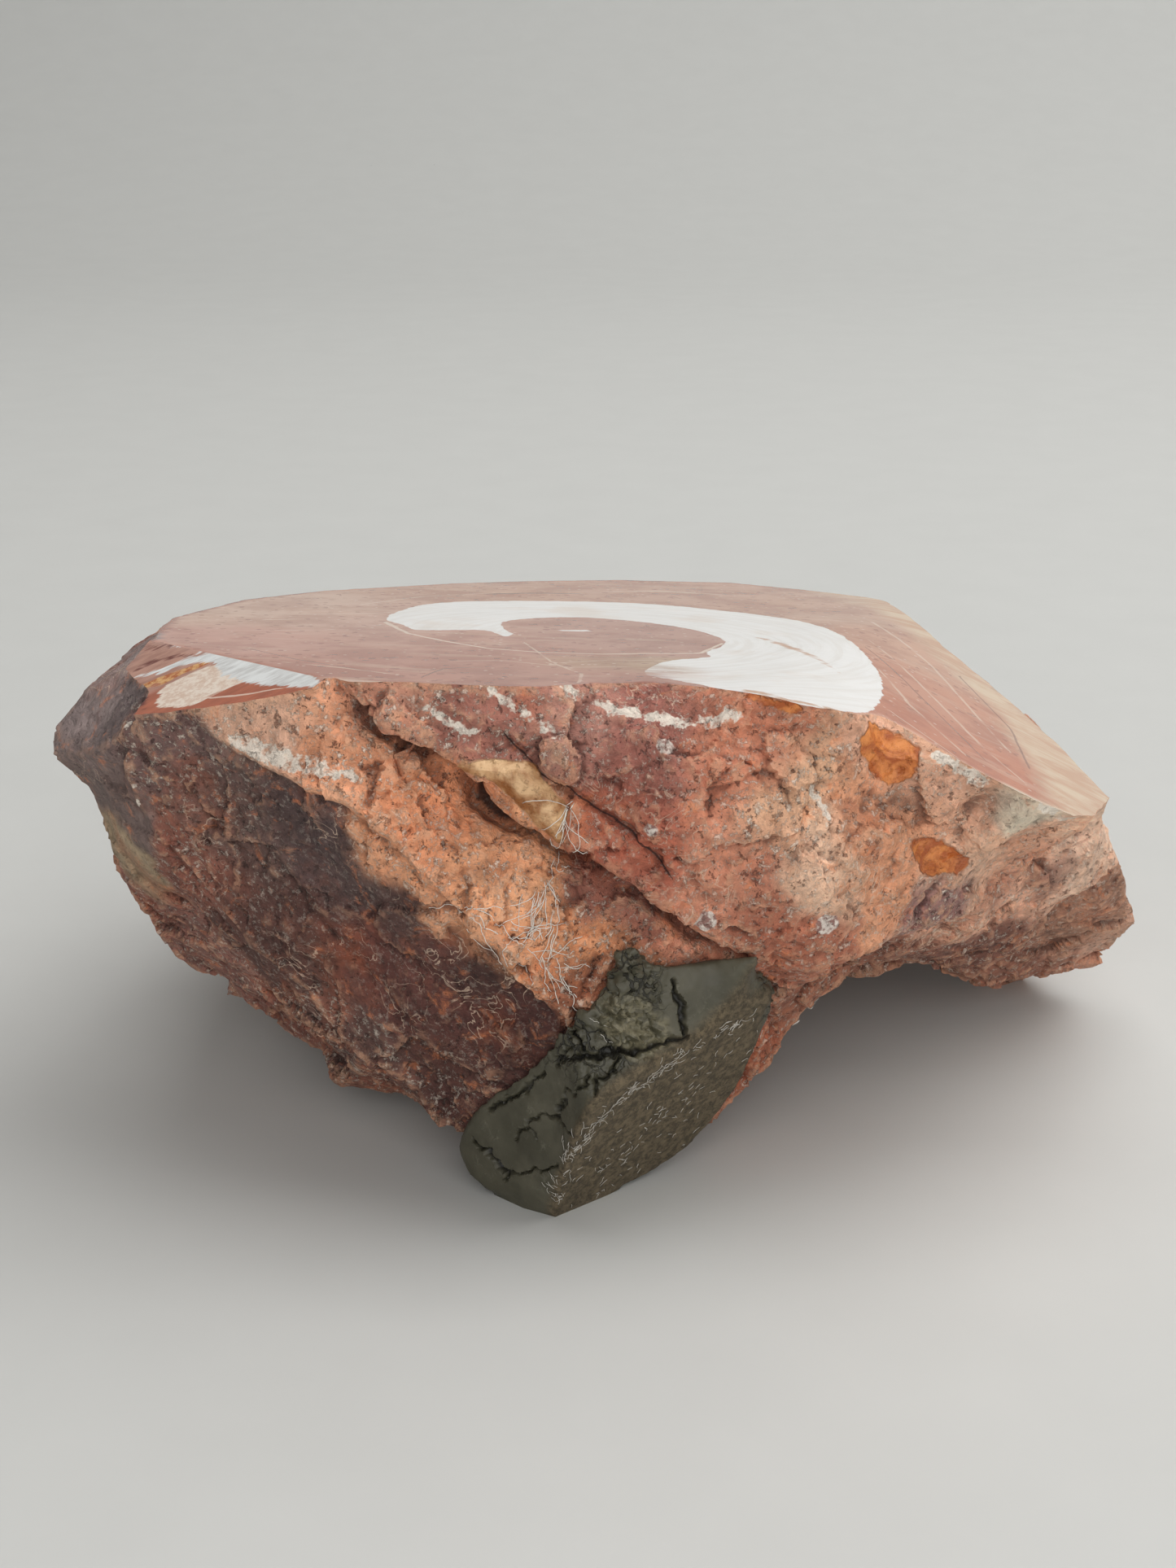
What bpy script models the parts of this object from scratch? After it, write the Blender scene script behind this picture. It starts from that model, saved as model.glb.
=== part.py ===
"""Ammonite fossil: a broken block of red limestone, polished on top, propped on a lump of modelling clay.

The block is described by named corners: the outline of its polished face, and the ridges, ledges and
feet of its broken sides. The corners are joined as seen from the heart of the block, then the faces are
divided and roughened. The clay is a pressed lump, cut back to a thin gap where it meets the stone.
Units: the corners are in millimetres, Blender's own units are metres, +Z is up.
"""
import bpy
import bmesh
import math
from mathutils import Vector, kdtree, noise

MM = 0.001

# Driving dimensions, in millimetres
ORIGIN = (0.25, -2.9)           # the point of the corner lists that becomes the middle of the part
STONE_HEART = (0.5, -4.0, 32.0)  # every face of the stone looks away from this point
CLAY_HEART = (-1.0, -53.0, 15.0)
STONE_STEP = 6.0                # longest edge left on the stone
CLAY_STEP = 3.2                 # longest edge left on the clay
SEAT_GAP = 0.6                  # clear space between the clay and the stone, measured from the heart
STONE_ROUGH = ((19.0, 1.1), (8.0, 0.7))   # size and height of the bumps on broken stone
CLAY_ROUGH = ((7.0, 0.5),)                # size and height of the bumps on the clay
STONE_SEED, CLAY_SEED = 3.0, 7.0
STONE_FADE, CLAY_FADE = 8.0, 3.0          # the bumps start this far from a smooth face or a foot
POLISH_REACH, SIDE_REACH = 1.2, 0.3       # a new point this near to a smooth face belongs to it
FOOT_REACH = 0.3                          # corners lower than this are feet and keep their place

# The polished face: one plane, rolled over on the right, and a second facet cut down at the left
FACE_HEIGHT, FACE_RISE_X, FACE_RISE_Y = 57.77, -0.03, -0.15
ROLL_DIRECTION, ROLL_START, ROLL_SLOPE, ROLL_SOFT = (0.966, -0.259), 35.3, 0.5, 9.0
CREASE_START, CREASE_END, CREASE_SLOPE = (-59.0, -29.0), (-31.5, -58.5), 0.46

# Corners of the polished face, anticlockwise from its front left end
POLISHED_EDGE = [
    (-58, -49.5), (-53.5, -51.5), (-48.5, -53.5), (-40.5, -56), (-31.5, -57), (-25, -56), (-17.5, -57), (-10, -56.5),
    (-4, -53), (3, -51), (9.5, -53.5), (14.5, -57), (20, -59), (26, -55), (30, -50.5), (34.5, -51.5),
    (39, -53.5), (44, -54.5), (48, -54.5), (53, -52.5), (57, -46.5), (62, -33), (61, -28), (59, -16),
    (54.5, -2), (47.5, 14), (42.5, 41.5), (32, 51), (19.5, 59.5), (0.5, 58.5), (-13, 53.5), (-26, 46.5),
    (-45, 31), (-55, 17), (-61, -4.5), (-61, -16.5), (-59.5, -26.5), (-62, -35), (-57, -44),
]
CREASE = [(-59.5, -26.5), (-53.5, -32), (-46, -40.5), (-38.5, -49), (-31.5, -57)]
EDGE_SPACING = 5.0              # longest stretch between corners along the polished outline
POLISHED_GRID = 11.0            # spacing of the extra corners inside the polished face

# Corners of the broken sides
NOSE = [
    (-68, -31.5, 57.5), (-71.5, -33.5, 53.5), (-72, -35.5, 50.5), (-69, -34.5, 45.5), (-66.5, -33.5, 41.5),
    (-66.5, -30.5, 36), (-65, -43.5, 54), (-59, -47, 57.5), (-59, -46, 52.5), (-58.5, -44, 47),
    (-63, -38.5, 41),
]
UPPER_RIDGE = [
    (-45.5, -55, 59), (-40.5, -57.5, 57), (-35.5, -59.5, 55), (-30.5, -61, 54), (-27, -62.5, 51.5),
    (-24, -63.5, 47.5), (-20.5, -64.5, 43), (-16, -65, 38.5), (-11.5, -65, 34), (-7, -63.5, 28.5),
]
SCOOP = [
    (-52, -50.5, 59), (-55.5, -47.5, 52), (-45.5, -50.5, 47.5), (-52.5, -46, 42), (-35.5, -54, 42),
    (-41.5, -49.5, 34.5), (-28, -56.5, 35.5), (-32.5, -52.5, 26), (-20.5, -58, 27.5), (-15.5, -57.5, 20),
]
LOWER_RIDGE = [
    (-58.5, -43, 42), (-54.5, -42.5, 36), (-48.5, -44.5, 31.5), (-43, -45.5, 27), (-37.5, -46.5, 21),
    (-32.5, -47.5, 14.5), (-27.5, -48.5, 10), (-21, -51, 5.5),
]
LEFT_EDGE = [
    (-65.5, -27.5, 31), (-65, -25.5, 26.5), (-62.5, -23.5, 22.5), (-61, -23.5, 19.5), (-59, -22.5, 15),
    (-55, -22.5, 12.5), (-51, -23.5, 11), (-45.5, -27.5, 8), (-39.5, -31.5, 6.5), (-38, -34.5, 4.5),
    (-31.5, -37.5, 4), (-27, -40.5, 5), (-23, -45.5, 4),
]
LEDGE_LIP = [
    (-29.5, -57.5, 64.5), (-25, -58.5, 61.5), (-19.5, -59.5, 58.5), (-13.5, -60, 54), (-7.5, -60.5, 49.5),
    (-1, -61, 45.5), (5.5, -61, 41.5), (11, -60.5, 37.5), (16, -59, 34.5),
]
LEDGE_FOOT = [
    (-30.5, -55, 63), (-26.5, -55.5, 59.5), (-21, -56.5, 56), (-15, -57, 51.5), (-8.5, -57.5, 47),
    (-2, -58, 43), (5, -58, 39), (10, -57.5, 35),
]
LOWER_LAYER = [
    (-39.5, -56, 61), (-33, -57.5, 58.5), (-25.5, -59, 54.5), (-19.5, -60.5, 49.5), (-12, -62, 43),
    (-4.5, -61.5, 36.5), (3, -59.5, 33), (-3, -60.5, 27),
]
UPPER_LAYER = [
    (-19.5, -58.5, 63.5), (-14, -59, 62), (-6.5, -60, 59.5), (1, -59.5, 62), (1, -61, 53), (8, -60, 60.5),
    (10, -61.5, 48), (17.5, -60, 56.5), (19.5, -60.5, 44.5), (27.5, -57.5, 47.5), (17.5, -58, 62.5),
    (23.5, -56.5, 61), (30.5, -54, 57), (27.5, -55, 53), (35, -52, 49.5), (38.5, -49.5, 41.5),
    (41, -50.5, 50.5), (45, -46.5, 45), (49.5, -44.5, 45), (54.5, -39.5, 39.5), (46, -41.5, 36),
]
HEEL = [(22.5, -57.5, 32.5), (27.5, -54.5, 32.5), (33, -50.5, 33), (39.5, -46.5, 32.5), (47, -41.5, 31.5)]
NOTCH = [(49.5, -36.5, 32.5), (52, -34.5, 36.5), (59, -29.5, 30), (56.5, -22.5, 25)]
WING = [
    (61.5, -31.5, 41.5), (61.5, -29.5, 39), (60, -30.5, 34.5), (63, -26.5, 35.5), (66, -22.5, 31),
    (64, -19.5, 22.5), (69, -17.5, 25.5), (71, -13.5, 20), (72.5, -10.5, 15.5), (72, -5.5, 10.5),
    (69.5, -0.5, 5.5), (66, 4.5, 2.5), (61.5, 7.5, 0), (58, 5, 0),
]
ARCH = [
    (26.5, -37, 24), (31, -33, 22.5), (36.5, -29, 20.5), (41.5, -24, 17), (46.5, -19, 14),
    (51.5, -13, 10), (56.5, -7, 7), (36, -38.5, 26), (44, -34.5, 24.5), (52, -23.5, 19),
    (62, -11.5, 14.5), (30, -24, 20.5), (38, -16, 16), (46, -6, 9.5), (29, -8, 14.5), (38, 0, 11),
]
LEG = [
    (26, -39.5, 23), (24.5, -37.5, 18), (22.5, -37.5, 14), (20, -38.5, 9.5), (16.5, -40, 5), (12, -43.5, 3),
    (19, -49.5, 25.5), (16.5, -47, 15.5), (9, -55, 25), (5, -55, 18.5), (-6.5, -58, 17), (-13, -53, 7),
    (1.5, -52.5, 8.5), (-7, -49.5, 5),
]
BACK = [
    (66.5, -11, 30), (65, 9, 33), (60, 27, 24), (47, 47, 31), (27, 60, 24), (6, 63, 31), (-14, 60, 24),
    (-33, 50, 34), (-50, 36, 26), (-60.5, 20, 38), (-66, 2, 33), (-67.5, -12, 44), (64, 14, 6), (60, 20, 2.5),
    (55, 28, 7), (38, 45, 9), (12, 55, 5), (-14, 50, 6), (-36, 36, 5), (-52, 17, 12), (-59.5, -4, 19),
]
SOLE = [
    (30, 36, 3), (2.5, 40, 0), (-21.5, 33, 0), (-35.5, 15, 4), (-43.5, -5, 9), (-7.5, 15, 2), (23, 10, 8),
    (-23.5, -9, 4), (0.5, -19, 3.5), (39, 8, 7), (20, -24, 14), (50, 12, 4),
]
BROKEN_CORNERS = (
    NOSE + UPPER_RIDGE + SCOOP + LOWER_RIDGE + LEFT_EDGE + LEDGE_LIP + LEDGE_FOOT + LOWER_LAYER
    + UPPER_LAYER + HEEL + NOTCH + WING + ARCH + LEG + BACK + SOLE
)

# The flat side of the clay that once stood on a shelf: y = start + by x + by z, in millimetres
SIDE_START, SIDE_BY_X, SIDE_BY_Z = -54.3, 0.8, -0.59
CLAY_SIDE = [
    (-7.5, 8), (-6, 15.5), (-4, 19), (-1, 21.5), (3, 23), (7, 24), (10.5, 26), (14, 27.5), (18, 27.5),
    (17, 25), (16, 22.5), (16, 18.5), (14, 11.5), (11.5, 7), (8.5, 3.5), (3.5, 1), (-2, 0), (-8.5, 0),
]
CLAY_FOOT = [(-12.5, -59), (-16, -56), (-13, -50), (-4, -50)]
CLAY_LOBE = [
    (-17.5, -57, 1.5), (-19.5, -55, 2.5), (-20.5, -53.5, 5), (-12.5, -60, 2), (-14, -60, 5.5),
    (-10.5, -61.5, 11), (-15.5, -57.5, 10), (-11, -62, 5), (-8, -63, 16),
]
CLAY_RIM = [
    (-20, -53, 7), (-18.5, -55, 11.5), (-16.5, -56.5, 14.5), (-12.5, -59, 19), (-10.5, -61, 23),
    (-8.5, -63.5, 27), (-6, -64.5, 29.5), (-4.5, -63.5, 29.5), (-3.5, -62.5, 30.5), (-2.5, -62.5, 32.5),
    (-1.5, -62.5, 35), (-1, -62.5, 36.5), (0.5, -62, 37), (2, -61.5, 35.5), (3.5, -61.5, 34),
    (6, -60.5, 33.5), (10.5, -59, 33.5), (15.5, -61, 35), (16, -57, 31), (18, -52, 26.5),
]
CLAY_FOLDS = [
    (-12.5, -60, 16), (-6.5, -65, 23.5), (-4.5, -65, 28), (-1, -64.5, 31), (0.5, -63.5, 34.5),
    (-1, -65, 24.5), (5, -62, 26.5), (5, -61.5, 31.5), (10.5, -60.5, 30.5), (14, -60.5, 32),
]
CLAY_ROOT = [
    (-20.5, -46.5, 3), (-18.5, -48.5, 8), (-17, -50, 11), (-12.5, -52.5, 15.5), (-10.5, -54.5, 19.5),
    (-8.5, -57, 24), (-6, -58, 26), (-2.5, -56, 29), (-1, -55.5, 33), (3.5, -54.5, 31), (11, -52, 30),
    (16, -54, 32), (16.5, -50, 28), (19, -45, 23), (14.5, -45, 22), (13.5, -43, 14), (8.5, -43, 8),
    (0.5, -45, 5), (-8.5, -45, 6), (-17.5, -47, 8),
]


def clear_scene():
    for old in list(bpy.data.objects):
        bpy.data.objects.remove(old)


def polished_height(x, y):
    """Height of the polished face above the point (x, y)."""
    across = ROLL_DIRECTION[0] * x + ROLL_DIRECTION[1] * y - ROLL_START
    if across < -ROLL_SOFT:
        roll = 0.0
    elif across > ROLL_SOFT:
        roll = ROLL_SLOPE * across
    else:
        roll = ROLL_SLOPE * (across + ROLL_SOFT) ** 2 / (4 * ROLL_SOFT)
    run_x = CREASE_END[0] - CREASE_START[0]
    run_y = CREASE_END[1] - CREASE_START[1]
    outward = (x - CREASE_START[0]) * run_y - (y - CREASE_START[1]) * run_x
    beyond = max(0.0, outward / math.hypot(run_x, run_y))
    return FACE_HEIGHT + FACE_RISE_X * x + FACE_RISE_Y * y - roll - CREASE_SLOPE * beyond


def on_polished(x, y):
    return Vector((x, y, polished_height(x, y)))


def inside_outline(x, y, outline):
    inside = False
    for (x1, y1), (x2, y2) in zip(outline, outline[1:] + outline[:1]):
        if (y1 > y) != (y2 > y) and x < x1 + (y - y1) * (x2 - x1) / (y2 - y1):
            inside = not inside
    return inside


def spaced_line(corners):
    """The corners of a line, with more between them wherever they lie far apart."""
    line = []
    for (x1, y1), (x2, y2) in zip(corners, corners[1:]):
        count = math.ceil(math.hypot(x2 - x1, y2 - y1) / EDGE_SPACING)
        line += [(x1 + (x2 - x1) * i / count, y1 + (y2 - y1) * i / count) for i in range(count)]
    return line


def polished_corners():
    """The outline and crease of the polished face, with a wide grid of corners inside them."""
    rim = spaced_line(POLISHED_EDGE + POLISHED_EDGE[:1]) + spaced_line(CREASE)[1:]
    corners = list(rim)
    reach = math.ceil(70 / POLISHED_GRID)
    for column in range(-reach, reach + 1):
        for row in range(-reach, reach + 1):
            x, y = POLISHED_GRID * (column + 0.5 * (row % 2)), POLISHED_GRID * row
            clear = min(math.hypot(x - a, y - b) for a, b in rim)
            if clear > 0.5 * POLISHED_GRID and inside_outline(x, y, POLISHED_EDGE):
                corners.append((x, y))
    return [on_polished(x, y) for x, y in corners]


def join_corners(corners, heart):
    """Triangles between corners that are neighbours when seen from the heart of the body."""
    sky = bmesh.new()
    for corner in corners:
        sky.verts.new((corner - heart).normalized() * 10.0)
    bmesh.ops.convex_hull(sky, input=sky.verts)
    bmesh.ops.triangulate(sky, faces=sky.faces)
    sky.verts.index_update()
    faces = []
    for face in sky.faces:
        a, b, c = (vert.index for vert in face.verts)
        outward = (corners[b] - corners[a]).cross(corners[c] - corners[a])
        if outward.dot(corners[a] - heart) < 0:
            b, c = c, b
        faces.append((a, b, c))
    sky.free()
    return faces


def divide(points, faces, step, keep=None, snap=None):
    """Halve the longest edge of each triangle until none is longer than step.

    keep(a, b) protects an edge; snap(a, b, middle) may move a new point.
    """
    while True:
        halved = {}
        for face in faces:
            edges = [tuple(sorted((face[i], face[(i + 1) % 3]))) for i in range(3)]
            edges = [edge for edge in edges if not (keep and keep(*edge))]
            if not edges:
                continue
            longest = max(edges, key=lambda edge: ((points[edge[0]] - points[edge[1]]).length, edge))
            if (points[longest[0]] - points[longest[1]]).length > step and longest not in halved:
                halved[longest] = len(points)
                middle = (points[longest[0]] + points[longest[1]]) / 2
                points.append(snap(*longest, middle) if snap else middle)
        if not halved:
            return faces
        divided = []
        for face in faces:
            divided += split_face(face, halved, points)
        faces = divided


def split_face(face, halved, points):
    """The triangles that replace one triangle, given the middles of its halved edges."""
    middles = [halved.get(tuple(sorted((face[i], face[(i + 1) % 3])))) for i in range(3)]
    count = sum(middle is not None for middle in middles)
    if count == 0:
        return [face]
    if count == 3:
        ab, bc, ca = middles
        a, b, c = face
        return [(a, ab, ca), (ab, b, bc), (ca, bc, c), (ab, bc, ca)]
    turn = 0
    if count == 1:
        while middles[turn] is None:
            turn += 1
    else:
        while middles[turn] is not None:
            turn += 1
        turn += 1
    a, b, c = (face[(turn + i) % 3] for i in range(3))
    ab, bc = middles[turn % 3], middles[(turn + 1) % 3]
    if count == 1:
        return [(a, ab, c), (ab, b, c)]
    if (points[ab] - points[c]).length < (points[a] - points[bc]).length:
        return [(ab, b, bc), (a, ab, c), (ab, bc, c)]
    return [(ab, b, bc), (a, ab, bc), (a, bc, c)]


def bumps(point, layers, seed):
    """Height of the rough surface at a point, from bumps of several sizes."""
    shift = Vector((seed, 2.3 * seed, 4.1 * seed))
    return sum(height * noise.noise(point / size + shift) * 1.6 for size, height in layers)


def roughen(points, faces, smooth, layers, seed, fade):
    """Push the points in and out by noise, fading to nothing beside the smooth ones."""
    normals = [Vector() for _ in points]
    for a, b, c in faces:
        normal = (points[b] - points[a]).cross(points[c] - points[a])
        for index in (a, b, c):
            normals[index] += normal
    tree = kdtree.KDTree(max(1, len(smooth)))
    for index in smooth:
        tree.insert(points[index], index)
    tree.balance()
    moved = []
    for index, point in enumerate(points):
        if index in smooth:
            moved.append(point)
            continue
        strength = min(1.0, tree.find(point)[2] / fade)
        rough = point + normals[index].normalized() * bumps(point, layers, seed) * strength
        rough.z = max(0.0, rough.z)
        moved.append(rough)
    return moved


def add_body(name, points, faces, material):
    """An object made of triangles, moved so that its origin lies under the middle of the part."""
    middle = Vector((*ORIGIN, 0.0))
    mesh = bpy.data.meshes.new(name)
    mesh.from_pydata([(point - middle) * MM for point in points], [], faces)
    mesh.materials.append(material)
    body = bpy.data.objects.new(name, mesh)
    bpy.context.scene.collection.objects.link(body)
    return body


def make_material(name, color, roughness):
    material = bpy.data.materials.new(name)
    material.use_nodes = True
    shader = material.node_tree.nodes["Principled BSDF"]
    shader.inputs["Base Color"].default_value = (*color, 1.0)
    shader.inputs["Roughness"].default_value = roughness
    shader.inputs["Metallic"].default_value = 0.0
    return material


def build_stone():
    """The block: exact polished face on top, broken on every other side."""
    polished = polished_corners()
    points = polished + [Vector(corner) for corner in BROKEN_CORNERS]
    heart = Vector(STONE_HEART)
    faces = join_corners(points, heart)
    smooth = set(range(len(polished)))

    def snap(a, b, middle):
        top = on_polished(middle.x, middle.y)
        if a in smooth and b in smooth and abs(top.z - middle.z) < POLISH_REACH:
            smooth.add(len(points))
            return top
        return middle

    faces = divide(points, faces, STONE_STEP, snap=snap)
    fixed = smooth | {index for index, point in enumerate(points) if point.z < FOOT_REACH}
    points = roughen(points, faces, fixed, STONE_ROUGH, STONE_SEED, STONE_FADE)
    red_limestone = make_material("red_limestone", (0.42, 0.2, 0.13), 0.55)
    return add_body("fossil_stone", points, faces, red_limestone), points, faces


def side_point(x, z):
    return Vector((x, SIDE_START + SIDE_BY_X * x + SIDE_BY_Z * z, z))


def build_clay(stone_points, stone_faces):
    """The lump of clay under the front of the block, cut back where the stone presses into it."""
    side = [side_point(x, z) for x, z in CLAY_SIDE]
    foot = [Vector((x, y, 0.0)) for x, y in CLAY_FOOT]
    loose = [Vector(corner) for corner in CLAY_LOBE + CLAY_RIM + CLAY_FOLDS + CLAY_ROOT]
    points = side + foot + loose
    faces = join_corners(points, Vector(CLAY_HEART))
    flat = set(range(len(side) + len(foot)))

    def keep(a, b):
        return points[a].z < FOOT_REACH and points[b].z < FOOT_REACH

    def snap(a, b, middle):
        if a in flat and b in flat and abs(side_point(middle.x, middle.z).y - middle.y) < SIDE_REACH:
            flat.add(len(points))
        return middle

    faces = divide(points, faces, CLAY_STEP, keep=keep, snap=snap)
    points = roughen(points, faces, flat, CLAY_ROUGH, CLAY_SEED, CLAY_FADE)
    grey_clay = make_material("grey_clay", (0.13, 0.125, 0.1), 0.8)
    clay = add_body("clay_foot", points, faces, grey_clay)

    heart = Vector(STONE_HEART)
    seat_points = [point + (point - heart).normalized() * SEAT_GAP for point in stone_points]
    seat = add_body("seat_cutter", seat_points, stone_faces, grey_clay)
    seat.hide_render = True
    seat.display_type = "WIRE"

    cut = clay.modifiers.new("pressed seat", "BOOLEAN")
    cut.operation = "DIFFERENCE"
    cut.solver = "EXACT"
    cut.object = seat
    weld = clay.modifiers.new("weld", "WELD")
    weld.merge_threshold = 0.0001
    return clay


clear_scene()
stone, stone_points, stone_faces = build_stone()
build_clay(stone_points, stone_faces)
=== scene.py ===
"""An ammonite in a broken, polished block of red limestone, propped up on a lump of modelling clay."""
import math
import bmesh
import bpy
import numpy as np
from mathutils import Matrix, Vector, bvhtree, geometry, kdtree, noise


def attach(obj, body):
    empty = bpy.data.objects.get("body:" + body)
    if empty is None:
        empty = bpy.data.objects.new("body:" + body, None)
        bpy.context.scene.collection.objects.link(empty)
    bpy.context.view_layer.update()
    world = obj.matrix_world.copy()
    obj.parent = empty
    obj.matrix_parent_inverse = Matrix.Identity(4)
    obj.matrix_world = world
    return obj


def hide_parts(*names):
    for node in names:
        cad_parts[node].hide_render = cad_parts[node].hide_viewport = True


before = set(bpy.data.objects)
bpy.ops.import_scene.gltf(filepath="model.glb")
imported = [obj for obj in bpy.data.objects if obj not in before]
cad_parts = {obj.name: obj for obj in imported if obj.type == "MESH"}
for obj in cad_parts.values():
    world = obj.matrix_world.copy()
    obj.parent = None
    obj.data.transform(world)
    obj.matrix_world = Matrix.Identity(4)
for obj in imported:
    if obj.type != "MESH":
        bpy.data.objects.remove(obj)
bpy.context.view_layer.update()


# ---------------------------------------------------------------------------------------------
# The table and the light. The specimen stands on a pale grey paper sheet that curves up far behind
# it. Soft lights hang overhead, to the right and behind, and a broad one faces it from the front.
MM = 0.001                            # the specimen is worked out in millimetres, the scene in metres
SHEET_GREY, SHEET_PALE, SHEET_SPECK = (206, 206, 202), (212, 212, 208), (104, 102, 97)
FLOOR_FRONT, FLOOR_BACK, FLOOR_SIDE = -2.5, 0.85, 2.6
SWEEP_RADIUS, SWEEP_TOP, SWEEP_STEPS = 1.1, 2.6, 24
CAMERA_PLACE = (-4.75 * MM, -290.6 * MM, 141 * MM)
CAMERA_DOWN = 20                      # degrees below level
LENS, SENSOR_WIDTH, NEAR_CLIP = 50, 36, 0.01
ROOM_COLOUR, ROOM_STRENGTH = (0.97, 0.98, 1.0, 1.0), 0.05


def add_object(name, data):
    """A new object in the scene for a mesh, a camera or a light."""
    made = bpy.data.objects.new(name, data)
    bpy.context.scene.collection.objects.link(made)
    return made


camera_data = bpy.data.cameras.new("camera")
camera_data.lens = LENS
camera_data.sensor_width = SENSOR_WIDTH
camera_data.clip_start = NEAR_CLIP
camera = add_object("camera", camera_data)
camera.location = CAMERA_PLACE
camera.rotation_euler = (math.radians(90 - CAMERA_DOWN), 0, 0)
bpy.context.scene.camera = camera
bpy.context.scene.view_settings.view_transform = "Standard"

sheet_line = [(FLOOR_FRONT, 0.0), (FLOOR_BACK, 0.0)]
for step in range(1, SWEEP_STEPS + 1):
    turn = math.radians(90 * step / SWEEP_STEPS)
    rise = SWEEP_RADIUS * (1 - math.cos(turn))
    sheet_line.append((FLOOR_BACK + SWEEP_RADIUS * math.sin(turn), rise))
sheet_line.append((FLOOR_BACK + SWEEP_RADIUS, SWEEP_TOP))
sheet_mesh = bpy.data.meshes.new("table_sheet")
sheet_points = [(side, y, z) for y, z in sheet_line for side in (-FLOOR_SIDE, FLOOR_SIDE)]
sheet_faces = [(2 * i, 2 * i + 1, 2 * i + 3, 2 * i + 2) for i in range(len(sheet_line) - 1)]
sheet_mesh.from_pydata(sheet_points, [], sheet_faces)
sheet_mesh.shade_smooth()
table_sheet = add_object("table_sheet", sheet_mesh)


# In every material and node group below, tree is the node tree that is being filled.
def plug(value, socket):
    """Links an output to a socket, or sets the socket's own plain value."""
    if isinstance(value, bpy.types.NodeSocket):
        tree.links.new(value, socket)
    else:
        socket.default_value = value


def add_node(kind, sockets=None, **settings):
    """A new shader node with its settings, and its sockets linked or set."""
    made = tree.nodes.new(kind)
    for name, value in settings.items():
        setattr(made, name, value)
    for key, value in (sockets or {}).items():
        plug(value, made.inputs[key])
    return made


def maths(operation, *values):
    """The output of a Math node."""
    made = add_node("ShaderNodeMath", operation=operation)
    for socket, value in zip(made.inputs, values):
        plug(value, socket)
    return made.outputs[0]


def times(first, second):
    """One value times another."""
    return maths("MULTIPLY", first, second)


def times_add(value, factor, added):
    """A value times a factor, and something added."""
    return maths("MULTIPLY_ADD", value, factor, added)


def mixed(share, first, second, blend="MIX"):
    """The first colour with a share of the second laid over it."""
    return add_node("ShaderNodeMix", {0: share, 6: first, 7: second},
                    data_type="RGBA", blend_type=blend).outputs[2]


def clouds(place, size, detail=4.0, roughness=0.55, distortion=0.0):
    """Soft noise from 0 to 1 whose patches are about size millimetres across."""
    return add_node("ShaderNodeTexNoise", {
        "Vector": place, "Scale": 0.5 / (size * MM), "Detail": detail, "Roughness": roughness,
        "Distortion": distortion}).outputs["Fac"]


def ramp(value, low, high):
    """0 below low, 1 above high, smooth between; low may be the larger one."""
    return add_node("ShaderNodeMapRange", {"Value": value, "From Min": low, "From Max": high},
                    interpolation_type="SMOOTHSTEP").outputs["Result"]


def linear(red, green, blue):
    """A colour given as three screen values from 0 to 255, as a linear colour."""
    shares = [value / 255 for value in (red, green, blue)]
    return tuple(s / 12.92 if s <= 0.04045 else ((s + 0.055) / 1.055) ** 2.4 for s in shares) + (1.0,)


def over(ground, mask, share, tint, blend="MIX"):
    """The ground colour with a share of a tint (0 to 255) laid over it where the mask is."""
    return mixed(times(mask, share), ground, linear(*tint), blend)


def new_material(name):
    """A material: itself, its node tree, its Principled sockets, and places on the object in metres."""
    material = bpy.data.materials.new(name)
    material.use_nodes = True
    tree = material.node_tree
    place = tree.nodes.new("ShaderNodeTexCoord").outputs["Object"]
    return material, tree, tree.nodes["Principled BSDF"].inputs, place


pale_sheet, tree, finish, place = new_material("pale_sheet")
tint = mixed(clouds(place, 9.0), linear(*SHEET_GREY), linear(*SHEET_PALE))
specks = add_node("ShaderNodeTexVoronoi", {"Vector": place, "Scale": 42.0, "Randomness": 1.0})
dot = ramp(specks.outputs["Distance"], 0.016, 0.004)
speck = times(dot, ramp(clouds(place, 60.0), 0.5, 0.56))
plug(mixed(speck, tint, linear(*SHEET_SPECK)), finish["Base Color"])
finish["Roughness"].default_value = 0.55
table_sheet.data.materials.append(pale_sheet)


def soft_light(name, place, target, size, power):
    """A rectangular light at a place in metres, turned to a target; its power is in watts."""
    data = bpy.data.lights.new(name, "AREA")
    data.shape = "RECTANGLE"
    data.size, data.size_y = size
    data.energy = power
    lamp = add_object(name, data)
    lamp.location = place
    lamp.rotation_euler = (Vector(target) - Vector(place)).to_track_quat("-Z", "Y").to_euler()


soft_light("overhead_light", (0.0, 0.1, 1.9), (0, 0, 0), (1.2, 1.2), 11.5)
soft_light("right_light", (1.1, 0.0, 1.5), (0, 0, 0.03), (1.2, 1.2), 13.0)
soft_light("back_light", (1.0, 0.9, 1.4), (0, 0, 0.03), (1.2, 1.2), 8.0)
soft_light("room_light", (0.1, -1.9, 0.95), (0, 0, 0.03), (3.0, 1.6), 29.5)
world = bpy.data.worlds.new("room")
world.use_nodes = True
room = world.node_tree.nodes["Background"].inputs
room["Color"].default_value = ROOM_COLOUR
room["Strength"].default_value = ROOM_STRENGTH
bpy.context.scene.world = world


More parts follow.
